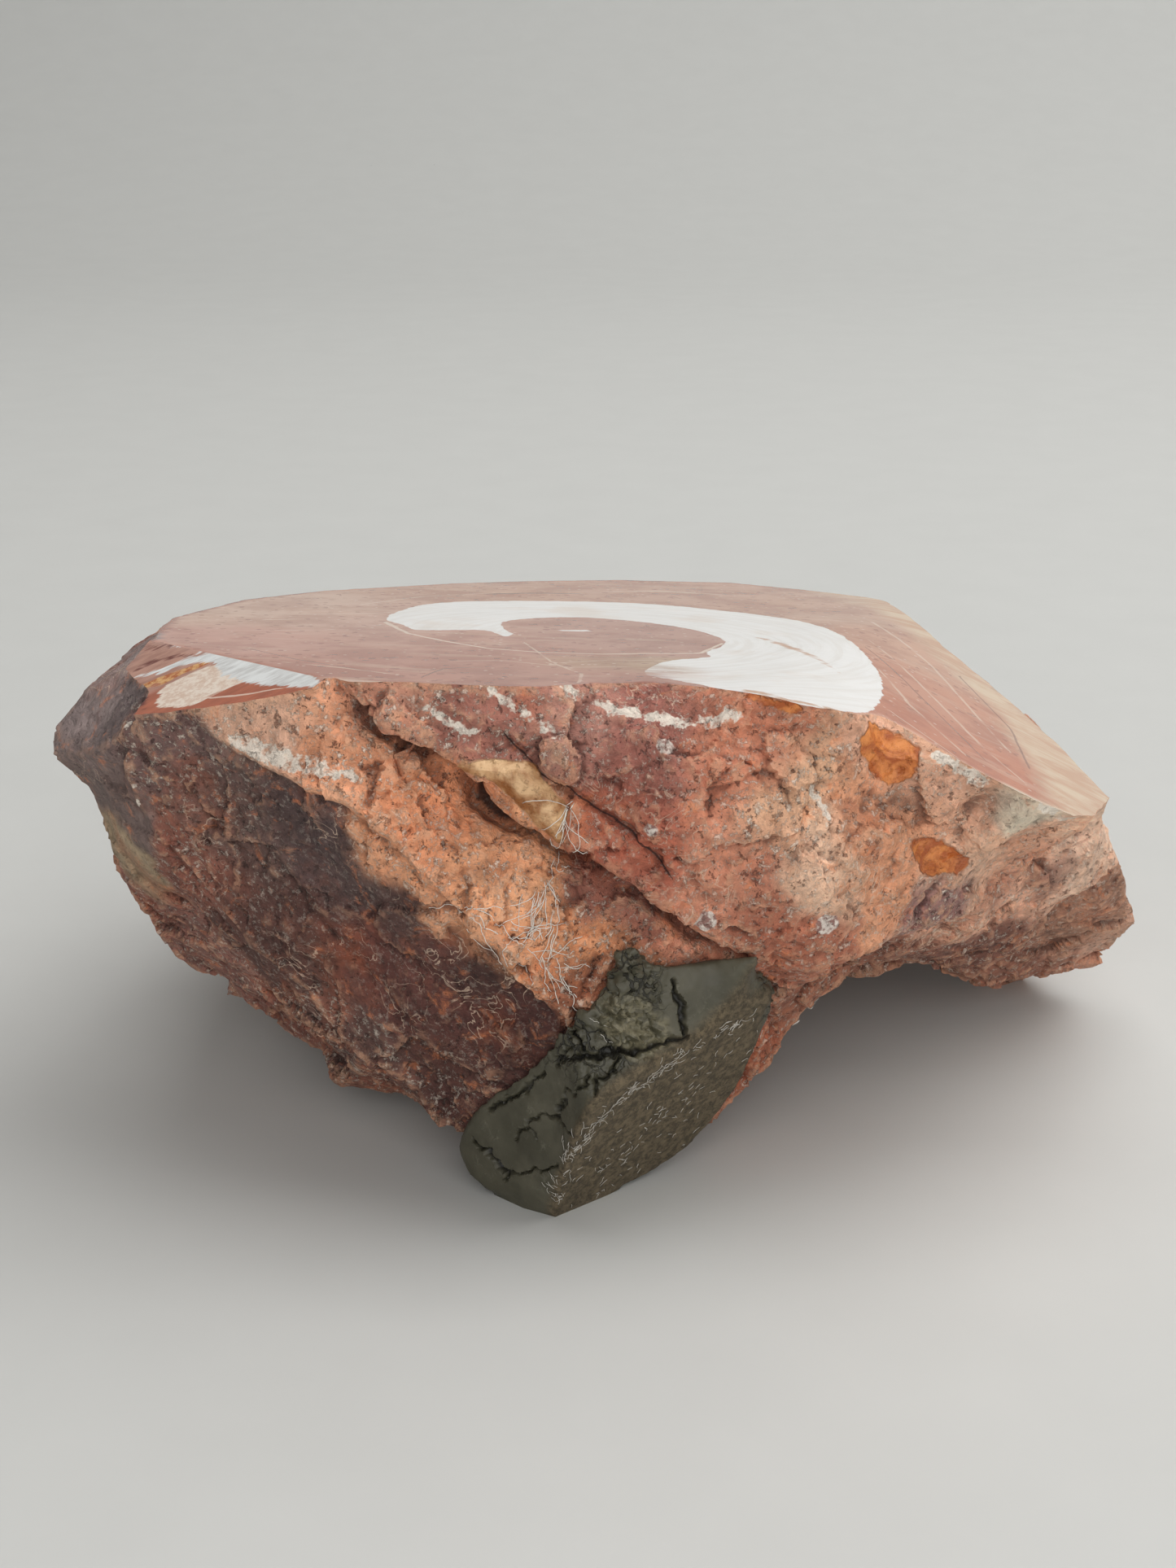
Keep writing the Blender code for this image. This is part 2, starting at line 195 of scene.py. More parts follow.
# ---------------------------------------------------------------------------------------------
# The block: one broken piece of red limestone, about 14 cm long. Its top was sawn and polished,
# with a rolled right edge and a second small facet at the left; all other sides are as broken.
# The polished face in millimetres: its height at the origin and its rise along x and y, the rolled
# right edge, and the crease where the left facet begins and how steeply it falls away.
FACE_HEIGHT, FACE_RISE_X, FACE_RISE_Y = 58.1975, -0.03, -0.15
ROLL_DIRECTION, ROLL_START, ROLL_SLOPE, ROLL_SOFT = (0.966, -0.259), 34.307, 0.5, 9.0
CREASE_START, CREASE_END, CREASE_SLOPE = (-59.25, -26.1), (-31.75, -55.6), 0.46
FRONT_REACH, LIP_REACH, BACK_REACH, POLISHED_REACH = 0.8, 1.2, 2.4, 1.2     # longest edges of the mesh
LIP_BAND = 5.0                        # the fair mesh reaches this far below the polished face
FACE_GAP, FACE_LEVEL = 0.05, 0.6      # how near the worked-out height and how level a polished triangle is
GRID_HALF, GRID_GAP = 75, 0.6         # half the side of the face's grid of points, and how near a line they come
LIP_CHIP, LIP_FADE, LIP_CALM = 0.32, 2.2, 7.0     # size of the chips along the lip, and their reach
FIBRE_TURN = 22                       # degrees from x to the fibres of the facet's layers
STREAK_TURN = 24                      # degrees by which the streaks of the face are turned


def polished_height(x, y):
    """Height of the polished face at each x and y, in millimetres."""
    across = ROLL_DIRECTION[0] * x + ROLL_DIRECTION[1] * y - ROLL_START
    soft = ROLL_SLOPE * np.clip(across + ROLL_SOFT, 0, None) ** 2 / (4 * ROLL_SOFT)
    roll = np.where(across > ROLL_SOFT, ROLL_SLOPE * across, soft)
    run_x, run_y = CREASE_END[0] - CREASE_START[0], CREASE_END[1] - CREASE_START[1]
    outward = (x - CREASE_START[0]) * run_y - (y - CREASE_START[1]) * run_x
    beyond = np.clip(outward / math.hypot(run_x, run_y), 0, None)
    return FACE_HEIGHT + FACE_RISE_X * x + FACE_RISE_Y * y - roll - CREASE_SLOPE * beyond


def solid_triangles(node):
    """The points (in millimetres) and triangles of a CAD solid, with shared corners."""
    solid = bmesh.new()
    solid.from_mesh(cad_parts[node].data)
    bmesh.ops.remove_doubles(solid, verts=solid.verts, dist=0.002 * MM)
    bmesh.ops.triangulate(solid, faces=solid.faces)
    points = np.array([vert.co[:] for vert in solid.verts]) / MM
    faces = np.array([[vert.index for vert in face.verts] for face in solid.faces])
    solid.free()
    return points, faces


def face_normals(points, faces):
    """One normal for each triangle, as long as twice the triangle's area."""
    a, b, c = (points[faces[:, i]] for i in range(3))
    return np.cross(b - a, c - a)


def split_long_edges(points, faces, reach):
    """Halves the longest edge of each triangle until none is longer than reach(middles) allows.

    Also returns, for each new triangle, the number of the one it came from.
    """
    parent = np.arange(len(faces))
    while True:
        ends = np.sort(np.stack([faces, np.roll(faces, -1, axis=1)], axis=2), axis=2)
        lengths = np.linalg.norm(points[ends[:, :, 0]] - points[ends[:, :, 1]], axis=2)
        longest = ends[np.arange(len(faces)), lengths.argmax(axis=1)]
        middles = points[longest].mean(axis=1)
        cut = longest[lengths.max(axis=1) > reach(middles, parent)]
        if len(cut) == 0:
            return points, faces, parent
        count = len(points)
        keys = np.unique(cut[:, 0] * count + cut[:, 1])
        points = np.vstack([points, (points[keys // count] + points[keys % count]) / 2])
        edge_keys = ends[:, :, 0] * count + ends[:, :, 1]
        spot = np.searchsorted(keys, edge_keys).clip(max=len(keys) - 1)
        middle = np.where(keys[spot] == edge_keys, count + spot, -1)
        marked = (middle >= 0).sum(axis=1)
        new_faces, new_parent = [faces[marked == 0]], [parent[marked == 0]]
        for number in (1, 2, 3):
            rows = np.flatnonzero(marked == number)
            first = (middle[rows] >= 0).argmax(axis=1) if number < 3 else np.zeros(len(rows), int)
            if number == 2:
                first = ((middle[rows] < 0).argmax(axis=1) + 1) % 3
            orders = [((first + i) % 3)[:, None] for i in range(3)]
            turned = [np.take_along_axis(faces[rows], order, 1)[:, 0] for order in orders]
            mids = [np.take_along_axis(middle[rows], order, 1)[:, 0] for order in orders]
            (a, b, c), (ab, bc, ca) = turned, mids
            pieces = {1: [(a, ab, c), (ab, b, c)], 2: [(ab, b, bc), (a, ab, bc), (a, bc, c)],
                      3: [(a, ab, ca), (ab, b, bc), (ca, bc, c), (ab, bc, ca)]}[number]
            for piece in pieces:
                new_faces.append(np.stack(piece, axis=1))
                new_parent.append(parent[rows])
        faces, parent = np.vstack(new_faces), np.concatenate(new_parent)


def corner_normals(points, faces, rounds):
    """A unit normal for each point, evened out with its neighbours' a number of times."""
    normals = np.zeros_like(points)
    flat = face_normals(points, faces)
    for i in range(3):
        np.add.at(normals, faces[:, i], flat)
    normals /= np.linalg.norm(normals, axis=1)[:, None] + 1e-12
    for _ in range(rounds):
        normals = neighbour_mean(normals, faces)
        normals /= np.linalg.norm(normals, axis=1)[:, None] + 1e-12
    return normals


def neighbour_mean(values, faces):
    """The mean over each point's triangles of a value that every point has."""
    total = np.zeros_like(values)
    weight = np.zeros(len(values))
    means = values[faces].mean(axis=1)
    for i in range(3):
        np.add.at(total, faces[:, i], means)
        np.add.at(weight, faces[:, i], 1.0)
    return total / weight[:, None]


def chips(point, size, slope, seed):
    """Height of a surface broken into flat tilted chips of about one size."""
    scaled = point / size + Vector((seed, seed * 1.7, seed * 0.6))
    _, centres = noise.voronoi(scaled, distance_metric="DISTANCE", exponent=2.5)
    tilt = noise.noise_vector(centres[0] * 5.13)
    return size * slope * (tilt.dot(scaled - centres[0]) + 0.35 * noise.noise(centres[0] * 3.7))


def segment_distances(places, start, end):
    """Distance from each place to a segment, and how far along it the nearest point lies."""
    run = np.subtract(end, start)
    along = ((places - start) @ run / max(run @ run, 1e-9)).clip(0, 1)
    return np.linalg.norm(places - start - along[:, None] * run, axis=1), along


def stroke_field(places, strokes):
    """Distance to the nearest stroke, below zero inside it. A stroke is a line of (x, y, half width)."""
    field = np.full(len(places), 50.0)
    for stroke in strokes:
        for first, last in zip(stroke, stroke[1:] or stroke):
            distance, along = segment_distances(places, first[:-1], last[:-1])
            field = np.minimum(field, distance - first[-1] - along * (last[-1] - first[-1]))
    return field


def signed_stroke(places, strokes):
    """Signed distance across the nearest stroke, in half widths of 0.15 mm, for crisp thin lines."""
    best = np.full(len(places), 1e9)
    signed = np.zeros(len(places))
    for stroke in strokes:
        for first, last in zip(stroke, stroke[1:]):
            distance, along = segment_distances(places, first[:2], last[:2])
            run = np.subtract(last[:2], first[:2])
            turn = run[0] * (places[:, 1] - first[1]) - run[1] * (places[:, 0] - first[0])
            width = first[2] + along * (last[2] - first[2])
            closer = distance < best
            best = np.where(closer, distance, best)
            signed = np.where(closer, np.sign(turn) * distance * 0.15 / width, signed)
    return signed.clip(-8, 8)


def line_side(places, line):
    """Distance to an open line, above zero on its left hand and below zero on its right."""
    nearest = np.full(len(places), 1e9)
    side = np.ones(len(places))
    for start, end in zip(line, line[1:]):
        distance, _ = segment_distances(places, start, end)
        run = np.subtract(end, start)
        turn = run[0] * (places[:, 1] - start[1]) - run[1] * (places[:, 0] - start[0])
        closer = distance < nearest
        nearest = np.where(closer, distance, nearest)
        side = np.where(closer, np.sign(turn), side)
    return nearest * side


def outline_field(places, outline):
    """Distance to a closed outline, below zero inside it."""
    nearest = np.full(len(places), 1e9)
    inside = np.zeros(len(places), bool)
    for (x1, y1), (x2, y2) in zip(outline, outline[1:] + outline[:1]):
        distance, _ = segment_distances(places, (x1, y1), (x2, y2))
        nearest = np.minimum(nearest, distance)
        spans = (y1 > places[:, 1]) != (y2 > places[:, 1])
        rise = (y2 - y1) if y2 != y1 else 1e-9
        inside ^= spans & (places[:, 0] < x1 + (places[:, 1] - y1) * (x2 - x1) / rise)
    return np.where(inside, -nearest, nearest)


def rounded(line, closed=False, steps=5):
    """A smooth line through the given points."""
    count = len(line)
    smooth = []
    for i in range(count if closed else count - 1):
        around = [(i + k) % count if closed else min(max(i + k, 0), count - 1) for k in (-1, 0, 1, 2)]
        four = [line[k] for k in around]
        for step in range(steps):
            t = step / steps
            smooth.append(tuple(
                0.5 * (2 * b + (c - a) * t + (2 * a - 5 * b + 4 * c - d) * t * t
                       + (3 * b - a - 3 * c + d) * t ** 3)
                for a, b, c, d in zip(*four)))
    return smooth if closed else smooth + [tuple(line[-1])]


# The ammonite on the polished face, seen from above (x, y): white calcite fills the outer whorl,
# red mud fills the rest, and a thin pale line is what is left of the shell. Lines are (x, y, half
# width) from end to end; outlines are (x, y). Healed cracks, seams and layers cross the face.
WHITE_CALCITE = rounded([
    (-33, 3), (-31, 15), (-27, 22.5), (-19.5, 27), (-7.5, 29.5), (5, 29), (16.5, 22.5), (24, 16), (28, 9),
    (31, -2), (32.5, -17), (32, -31), (30, -42), (26.5, -51), (20, -56), (13, -55), (8.5, -49), (4.5, -45),
    (2, -42), (3, -36), (5.5, -30), (10.5, -26), (10.5, -21), (13, -15), (13.5, -9), (12, -4), (9.5, 1),
    (4, 6.5), (-5, 10.5), (-12.5, 8), (-16.5, 3), (-16.5, -3), (-15, -9), (-16, -12), (-18.5, -6.5),
    (-24, -7.5), (-28, -8), (-30, -3.5),
], closed=True, steps=3)
SHELL_LINE = [(13, -13, 0.16), (9.6, -22.8, 0.2), (3.3, -24.3, 0.2), (-3, -26, 0.16), (-11, -25.8, 0.14),
              (-17.5, -23.8, 0.16), (-24, -17.6, 0.2), (-28.8, -11.5, 0.2), (-32.5, -1.5, 0.3)]
WHORL_HEART = [(-8.4, -4.6, 0.7), (-4.6, -3.8, 0.6)]
WHORL_CENTRE, FADING_SPOT, FADING_REACH = (-5, -9), (2, -41), 8    # where the white calcite fades out
PALE_VEINS = [
    [(-13, -17.5, 0.1), (-9, -35, 0.12), (-5.5, -43, 0.16), (-5.8, -50, 0.14)],
    [(-21, -35.5, 0.1), (-15, -34, 0.12), (-7, -38, 0.1), (1, -36, 0.1)],
    [(-9, -35, 0.1), (-2, -31, 0.12), (5, -30, 0.1)],
    [(-41, -40.5, 0.12), (-34, -43.5, 0.2), (-27.5, -47.3, 0.1)], [(-33, -53, 0.5), (-28.5, -53.6, 0.4)],
    [(-52, -14, 0.1), (-40, -11, 0.15), (-33, -4, 0.1)], [(-45, 5, 0.12), (-36, 8, 0.2), (-30, 12, 0.1)],
    [(-49, -2, 0.3), (-44, 0, 0.2)], [(33, -20, 0.1), (35, -34, 0.2), (40, -46, 0.14)],
    [(34, 2, 0.1), (38, -16, 0.16), (44, -38, 0.2), (48.5, -47, 0.1)],
    [(37, 18, 0.2), (43, -4, 0.2), (48, -32, 0.16)], [(31.5, -43, 0.12), (38, -49, 0.12)],
    [(-2, 44, 0.3), (8, 47, 0.5), (17, 44, 0.2)], [(-38, 18, 0.15), (-30, 30, 0.2), (-16, 40, 0.15)],
]
DARK_SEAMS = [
    [(-24, -49, 0.1), (-22, -42, 0.12), (-18, -40, 0.1)],
    [(-47, -30, 0.1), (-40, -38, 0.1), (-30, -46, 0.08)],
    [(-10, -28, 0.1), (-3, -29, 0.1), (4, -27, 0.1)], [(-20, 36, 0.3), (-13, 39, 0.5), (-6, 40, 0.2)],
    [(33, -6, 0.1), (37, -24, 0.14), (43, -44, 0.1)], [(47, 0, 0.14), (51, -18, 0.14), (50, -36, 0.14)],
]
AMBER_SEAMS = [[(18.5, -6, 0.3), (21, -12, 0.6), (24.5, -22, 0.5), (26.5, -30, 0.2)],
               [(13, -52, 0.8), (18, -55, 0.9), (24, -54, 0.5)]]
BAND_LINE = [(30, 58), (36, 42), (41, 22), (46, 4), (50, -14), (51, -32), (50, -48), (52, -60)]
# The layers cut by the left facet: white calcite, a cream patch, ochre, dark mud, and a thin vein;
# above FACET_SPLIT the ground is paler.
FACET_WHITE = [
    [(-56.2, -29.6, 0.4), (-54.5, -29.2, 0.6), (-50.5, -34.5, 0.6)],
    [(-50, -36.3, 1.0), (-53.5, -35.4, 0.9), (-56.5, -36, 0.7), (-59.9, -35.4, 0.3)],
    [(-50, -36.3, 0.9), (-46.5, -41.5, 2.0), (-42.2, -46.2, 2.4), (-38.5, -50.2, 1.5), (-34.5, -54.4, 0.2)]]
FACET_CREAM = [
    (-55.8, -46), (-55.9, -42), (-55.2, -40.6), (-52.5, -39.2), (-50, -38.5), (-46.8, -41),
    (-44, -45.5), (-46.3, -46.8), (-48.5, -47.6), (-50.5, -48.8), (-53.2, -48)]
FACET_OCHRE = [[(-58.3, -39, 0.9), (-55.5, -38.6, 1.0), (-53, -38, 0.8), (-50.5, -37.4, 0.4)]]
FACET_DARK = [[(-60.5, -33, 0.5), (-57.5, -32, 0.4), (-54, -33.5, 0.3)],
              [(-60, -27.5, 0.5), (-56.5, -28.6, 0.3)], [(-57.5, -45, 0.6), (-58.5, -41.5, 0.4)]]
FACET_SPLIT = [(-61, -44), (-57, -41.5), (-50, -40), (-44, -47), (-34, -55)]
FACET_VEIN = [[(-49.3, -47.9, 0.1), (-46.5, -49.3, 0.14), (-44, -50.2, 0.12), (-40.1, -51.2, 0.08)]]

# The block's mesh starts from the solid. Its broken sides are cut fine where they face the front.
stone_points, stone_faces = solid_triangles("fossil_stone")
gap = np.abs(stone_points[:, 2] - polished_height(stone_points[:, 0], stone_points[:, 1]))
flat = face_normals(stone_points, stone_faces)
flat /= np.linalg.norm(flat, axis=1)[:, None]
coarse_polished = (gap[stone_faces].max(axis=1) < FACE_GAP) & (flat[:, 2] > FACE_LEVEL)
broken_faces = stone_faces[~coarse_polished]
to_front = np.array(CAMERA_PLACE) / MM - stone_points[broken_faces].mean(axis=1)
to_front /= np.linalg.norm(to_front, axis=1)[:, None]
on_front = (flat[~coarse_polished] * to_front).sum(axis=1) > -0.1


def stone_reach(middles, parent):
    """Longest edge wanted at each place: fine on the front, fair along the lip, coarse behind."""
    under_face = polished_height(middles[:, 0], middles[:, 1]) - middles[:, 2]
    behind = np.where(under_face < LIP_BAND, LIP_REACH, BACK_REACH)
    return np.where(on_front[parent], FRONT_REACH, behind)


stone_points, broken_faces, _ = split_long_edges(stone_points, broken_faces, stone_reach)

# The polished face is filled in anew between the lip and the crease of the small facet.
edges = np.sort(np.vstack([broken_faces[:, pair] for pair in ([0, 1], [1, 2], [2, 0])]), axis=1)
edges, uses = np.unique(edges, axis=0, return_counts=True)
lip_edges = edges[uses == 1]
lip_numbers, lip_edges = np.unique(lip_edges, return_inverse=True)
lip_edges = lip_edges.reshape(-1, 2)
lip_spots = stone_points[lip_numbers][:, :2]
lip_tree = kdtree.KDTree(len(lip_numbers))
for number, lip in enumerate(stone_points[lip_numbers]):
    lip_tree.insert(lip, number)
lip_tree.balance()
crease_count = int(math.dist(CREASE_START, CREASE_END) / POLISHED_REACH)
crease_share = np.linspace(0, 1, crease_count)[1:-1, None]
crease_spots = np.array(CREASE_START) * (1 - crease_share) + np.array(CREASE_END) * crease_share
rows = np.arange(-GRID_HALF, GRID_HALF, POLISHED_REACH * 0.866)
grid = np.array([(x + (POLISHED_REACH / 2 if number % 2 else 0), y) for number, y in enumerate(rows)
                 for x in np.arange(-GRID_HALF, GRID_HALF, POLISHED_REACH)])
from_crease, _ = segment_distances(grid, CREASE_START, CREASE_END)
heights = polished_height(grid[:, 0], grid[:, 1])
from_lip = np.array([lip_tree.find((x, y, z))[2] for (x, y), z in zip(grid, heights)])
grid = grid[np.minimum(from_crease, from_lip) > GRID_GAP * POLISHED_REACH]
first_crease = len(lip_spots)
crease_edges = [(first_crease + i, first_crease + i + 1) for i in range(len(crease_spots) - 1)]
filled = geometry.delaunay_2d_cdt(
    [Vector(spot) for spot in np.vstack([lip_spots, crease_spots, grid])],
    [tuple(edge) for edge in lip_edges.tolist()] + crease_edges, [], 1, 1e-6)
face_spots = np.array([spot[:] for spot in filled[0]])
face_points = np.column_stack([face_spots, polished_height(face_spots[:, 0], face_spots[:, 1])])
numbers = np.array([lip_numbers[was[0]] if was and was[0] < first_crease else -1 for was in filled[3]])
fresh = numbers < 0
numbers[fresh] = len(stone_points) + np.arange(fresh.sum())
stone_points = np.vstack([stone_points, face_points[fresh]])
polished_faces = numbers[np.array(filled[2])]
turned = face_normals(stone_points, polished_faces)[:, 2] < 0
polished_faces[turned] = polished_faces[turned][:, ::-1]
stone_faces = np.vstack([broken_faces, polished_faces])
used, stone_faces = np.unique(stone_faces, return_inverse=True)
stone_faces = stone_faces.reshape(-1, 3)
stone_points = stone_points[used]
polished_face = np.arange(len(stone_faces)) >= len(broken_faces)


# How the block broke: chips of several sizes on the broken sides, none on the polished face.
# Each row is (chip size, steepness, seed) in millimetres.
CHIP_SIZES = [(9.0, 0.34, 3.1), (3.6, 0.36, 7.7), (1.6, 0.26, 1.9)]
GRAIN_HEIGHT, GRAIN_SIZE = 0.11, 1.1
LEDGE_CUT, LEDGE_LIP, LEDGE_NEAR = 2.3, 0.5, 6.0       # how deep it undercuts, how far the lip stands out
GROOVE_DEPTH, CRACK_DEPTH, RIM_HEIGHT, EDGE_HEIGHT, EDGE_CUT = 0.5, 0.7, 0.55, 0.45, 0.5
LENS_HEIGHT, DISC_HEIGHT, POCKET_DEPTH = 0.9, 0.25, 0.5     # for each millimetre inside their outlines
FRONT_LIMIT, FRONT_FADE = -30, 8      # front details belong before this y, and fade in over this length
EDGE_CONTRAST = 0.96                  # how little the tones mix across the edge of the scoop
FLAT_CALM, SOLE_FADE = 0.4, 2.5       # no displacement below the first height, all of it the second above
STONE_SHARP = 26                      # degrees
# Broken-side colours: (x, y, z), how far each spreads, its colour, and how rough it broke there.
# Painted shade in the scoop's dark rows and painted light in the ridge's pale rows, besides their own tones.
ROCK_TONES = [
    ((-67, -33, 56), 6, (152, 134, 130), 0.2), ((-66, -36, 48), 6, (124, 104, 98), 0.25),
    ((-64, -33, 38), 4, (168, 146, 118), 0.35), ((-63, -39, 61), 4, (118, 102, 100), 0.4),
    ((-53, -48, 55), 6, (128, 98, 92), 0.9), ((-46, -48, 47), 7, (112, 84, 76), 0.7),
    ((-38, -52, 47), 8, (88, 68, 66), 0.45), ((-51, -43, 40), 5, (146, 92, 76), 0.8),
    ((-41, -46, 35), 7, (98, 64, 56), 0.6), ((-27, -54, 31), 8, (104, 62, 54), 0.45),
    ((-34, -46, 19), 6, (108, 76, 68), 0.8), ((-21, -50, 14), 5, (94, 58, 50), 0.7),
    ((-14, -59, 27), 5, (80, 44, 38), 0.4), ((-14, -59, 46), 7, (248, 180, 134), 0.9),
    ((-33, -54, 43), 5, (92, 70, 66), 0.4), ((-27, -57, 37), 4, (96, 68, 62), 0.4),
    ((-20, -59, 32), 4, (78, 48, 42), 0.4), ((-28, -58, 50), 4, (244, 172, 128), 0.9),
    ((-22, -60, 44), 3, (248, 178, 134), 1.0), ((-15, -61, 38), 4, (246, 172, 124), 1.0),
    ((-9, -61, 33), 3, (226, 146, 102), 1.0),
    ((-22, -58, 52), 6, (236, 156, 112), 0.9), ((-32, -56, 58), 6, (236, 164, 124), 1.0),
    ((-41, -53, 59), 5, (240, 188, 158), 0.9), ((-8, -60, 37), 5, (232, 158, 112), 1.0),
    ((-5, -60, 32), 4, (164, 102, 74), 0.9), ((-27, -54, 63), 5, (196, 138, 114), 1.0),
    ((-16, -55, 63), 5, (172, 112, 96), 0.9), ((-6, -56, 63), 5, (184, 130, 114), 0.9),
    ((2, -57, 58), 6, (166, 104, 90), 0.7), ((0, -58, 50), 6, (188, 106, 82), 0.7),
    ((-3, -57, 43), 4, (152, 96, 80), 0.8), ((11, -57, 57), 6, (212, 138, 108), 0.8),
    ((17, -57, 53), 5, (228, 180, 144), 1.2), ((12, -59, 46), 6, (222, 148, 118), 0.8),
    ((18, -57, 39), 5, (182, 112, 86), 0.8), ((22, -57, 45), 5, (246, 202, 170), 0.9),
    ((30, -52, 47), 6, (240, 170, 130), 0.8), ((37, -49, 54), 6, (230, 176, 146), 0.9),
    ((39, -43, 36), 4, (160, 118, 112), 1.0), ((44, -41, 41), 6, (251, 202, 170), 0.8),
    ((46, -50, 52), 3, (228, 214, 190), 0.4), ((50, -32, 33), 6, (242, 184, 154), 0.9),
    ((54, -29, 33), 3, (110, 76, 68), 0.8), ((60, -25, 37), 6, (253, 212, 184), 0.8),
    ((65, -17, 22), 6, (176, 128, 104), 0.7), ((46, -24, 17), 7, (132, 88, 74), 0.8),
    ((22, -38, 18), 5, (168, 108, 84), 0.9), ((17, -40, 14), 5, (190, 112, 82), 0.9),
    ((0, 45, 30), 20, (176, 116, 94), 0.9), ((-50, 12, 32), 16, (164, 106, 88), 0.9),
    ((-58, -15, 30), 10, (148, 102, 90), 0.8), ((-32, 44, 42), 12, (196, 144, 118), 0.9),
    ((30, 48, 30), 14, (186, 128, 102), 0.9), ((55, 20, 32), 14, (198, 140, 114), 0.8),
    ((64, -4, 30), 8, (200, 160, 138), 0.8), ((0, 0, 6), 22, (142, 92, 74), 0.8),
    ((30, -5, 14), 14, (156, 104, 84), 0.8), ((-40, 0, 12), 14, (140, 88, 74), 0.8),
]
# Lines and patches on the broken sides: (x, y, z, half width) from end to end.
CREAM_STREAKS = [
    [(-45.5, -51.8, 59.5, 0.9), (-41.5, -53.5, 58.5, 1.1), (-35, -55.8, 57, 0.9), (-31, -56.5, 56.5, 0.5)],
    [(-23.5, -54.5, 64.3, 0.3), (-18, -56, 61.8, 0.6)],
    [(-16, -54, 66.5, 0.4), (-12, -55.5, 64, 0.5), (-8, -56, 61.5, 0.3)],
    [(-7, -52, 66, 0.7), (-1.3, -53.3, 64, 0.8), (5.3, -54, 62.8, 0.8), (11.7, -55, 63.3, 0.9)],
    [(21.3, -55, 54.6, 0.5), (22.8, -55.5, 50.8, 0.5)], [(36, -50.5, 57, 0.7), (41.5, -51, 54.2, 0.8)],
    [(49, -51, 51, 0.8), (53.7, -46, 47.6, 0.6)], [(-59.5, -43, 58.5, 0.5), (-59.3, -41, 48, 0.3)],
    [(-30, -57, 63, 0.4), (-28.5, -56.5, 61, 0.8)], [(24, -54, 50, 0.2), (25.5, -53, 47.5, 0.9)],
    [(27, -53, 58, 0.5), (28, -52.5, 55, 0.3)],
]
CRINOID_DISCS = [[(4, -56.7, 60.6, 1.0)], [(2.4, -59.4, 51.3, 0.8)], [(9, -58, 39.6, 1.3)],
                 [(23.3, -55.3, 38, 1.4)]]
AMBER_LENS = [[(-21.5, -55.3, 58.7, 0.3), (-16, -56.5, 57.7, 1.1), (-12.4, -57, 56.3, 2.3),
               (-9, -57, 52.5, 1.9), (-7.8, -57, 49.5, 0.4)]]
ORANGE_POCKETS = [
    [(28.8, -50.8, 59, 2.4), (31, -50.3, 56.6, 3.1)],
    [(34, -48.5, 45.5, 1.2), (37, -47.5, 43, 2.3), (41, -45.8, 41, 1.4)],
    [(13.6, -54, 65.6, 0.5), (19, -55.8, 64.5, 0.8)], [(25, -54, 59, 0.5), (27.2, -53.5, 55, 0.8)]]
# Lines seen from the front (x, z): the ledge where the upper layer overhangs the lower one, a second
# crack above it, and the open fissure along both, whose third number is half its width. The fissure
# is a painted shadow: a near-black line where the ledge and the crack shade the stone.
LEDGE_LINE = [(-30, 63.5), (-28.3, 61.5), (-23.1, 59.6), (-19.4, 57.2), (-17, 53.6), (-13.9, 51.3),
              (-9.7, 49.2), (-5.9, 47.3), (-1.2, 44.8), (4.5, 40), (8.5, 36.3), (13.8, 34)]
CRACK_ABOVE = [(-14, 61.4), (-10.5, 57.4), (-6, 54.4), (-0.3, 50.5), (4.4, 45.2)]
FISSURE_SHADOWS = [[(x, z - 0.5, 0.22) for x, z in LEDGE_LINE], [(x, z, 0.08) for x, z in CRACK_ABOVE]]
# The sharp edge between the dark scoop at the lower left and the bright ridge above it, the scoop's
# outer rim, and some shallow grooves. The scoop's darkness is partly painted shade and the ridge's
# brightness partly painted light, as the scoop faces down and the ridge faces up.
SCOOP_EDGE = [(-50, 60.5), (-46, 58.8), (-40.6, 56.3), (-32, 53.7), (-27.7, 49.9), (-21.7, 44.3),
              (-15.7, 38.3), (-10.7, 31.5), (-7.8, 27.8), (-5, 24)]
SCOOP_RIM = [(-60, 58), (-59.5, 48), (-55.5, 41.5), (-51, 36.5), (-46.5, 30.5), (-39.5, 25),
             (-31.5, 15.5), (-21.5, 7)]
SIDE_GROOVES = [[(-47, 50), (-41, 41), (-35, 33), (-27, 24)], [(-2, 52), (5, 47.5), (9, 43)],
                [(26, 60), (28.5, 55), (27.5, 51)]]

polished_point = np.zeros(len(stone_points), bool)
polished_point[stone_faces[polished_face]] = True
rough_point = np.zeros(len(stone_points), bool)
rough_point[stone_faces[~polished_face]] = True
lip_point = polished_point & rough_point
lip_distance = np.array([lip_tree.find(point)[2] for point in stone_points])
lip_fade = (1 - lip_distance / LIP_FADE).clip(0, 1) ** 2

for _ in range(2):
    softened = neighbour_mean(stone_points, stone_faces)
    keep = polished_point | (stone_points[:, 2] < FLAT_CALM)
    stone_points = np.where(keep[:, None], stone_points, softened)
stone_normals = corner_normals(stone_points, stone_faces, 5)


def wandering(places, size, reach, fine_size, fine_reach):
    """A smooth random offset for each place, of two sizes and reaches in millimetres."""
    return np.array([noise.noise_vector(place / size) * reach
                     + noise.noise_vector(place / fine_size) * fine_reach for place in places])


def along_line(places, line):
    """Distance to an open line."""
    return stroke_field(places, [[spot + (0.0,) for spot in line]])


def swell(distance, middle, width):
    """A rounded swell, 1 at the middle distance and gone at about two widths from it."""
    return np.exp(-((distance - middle) / width) ** 2)
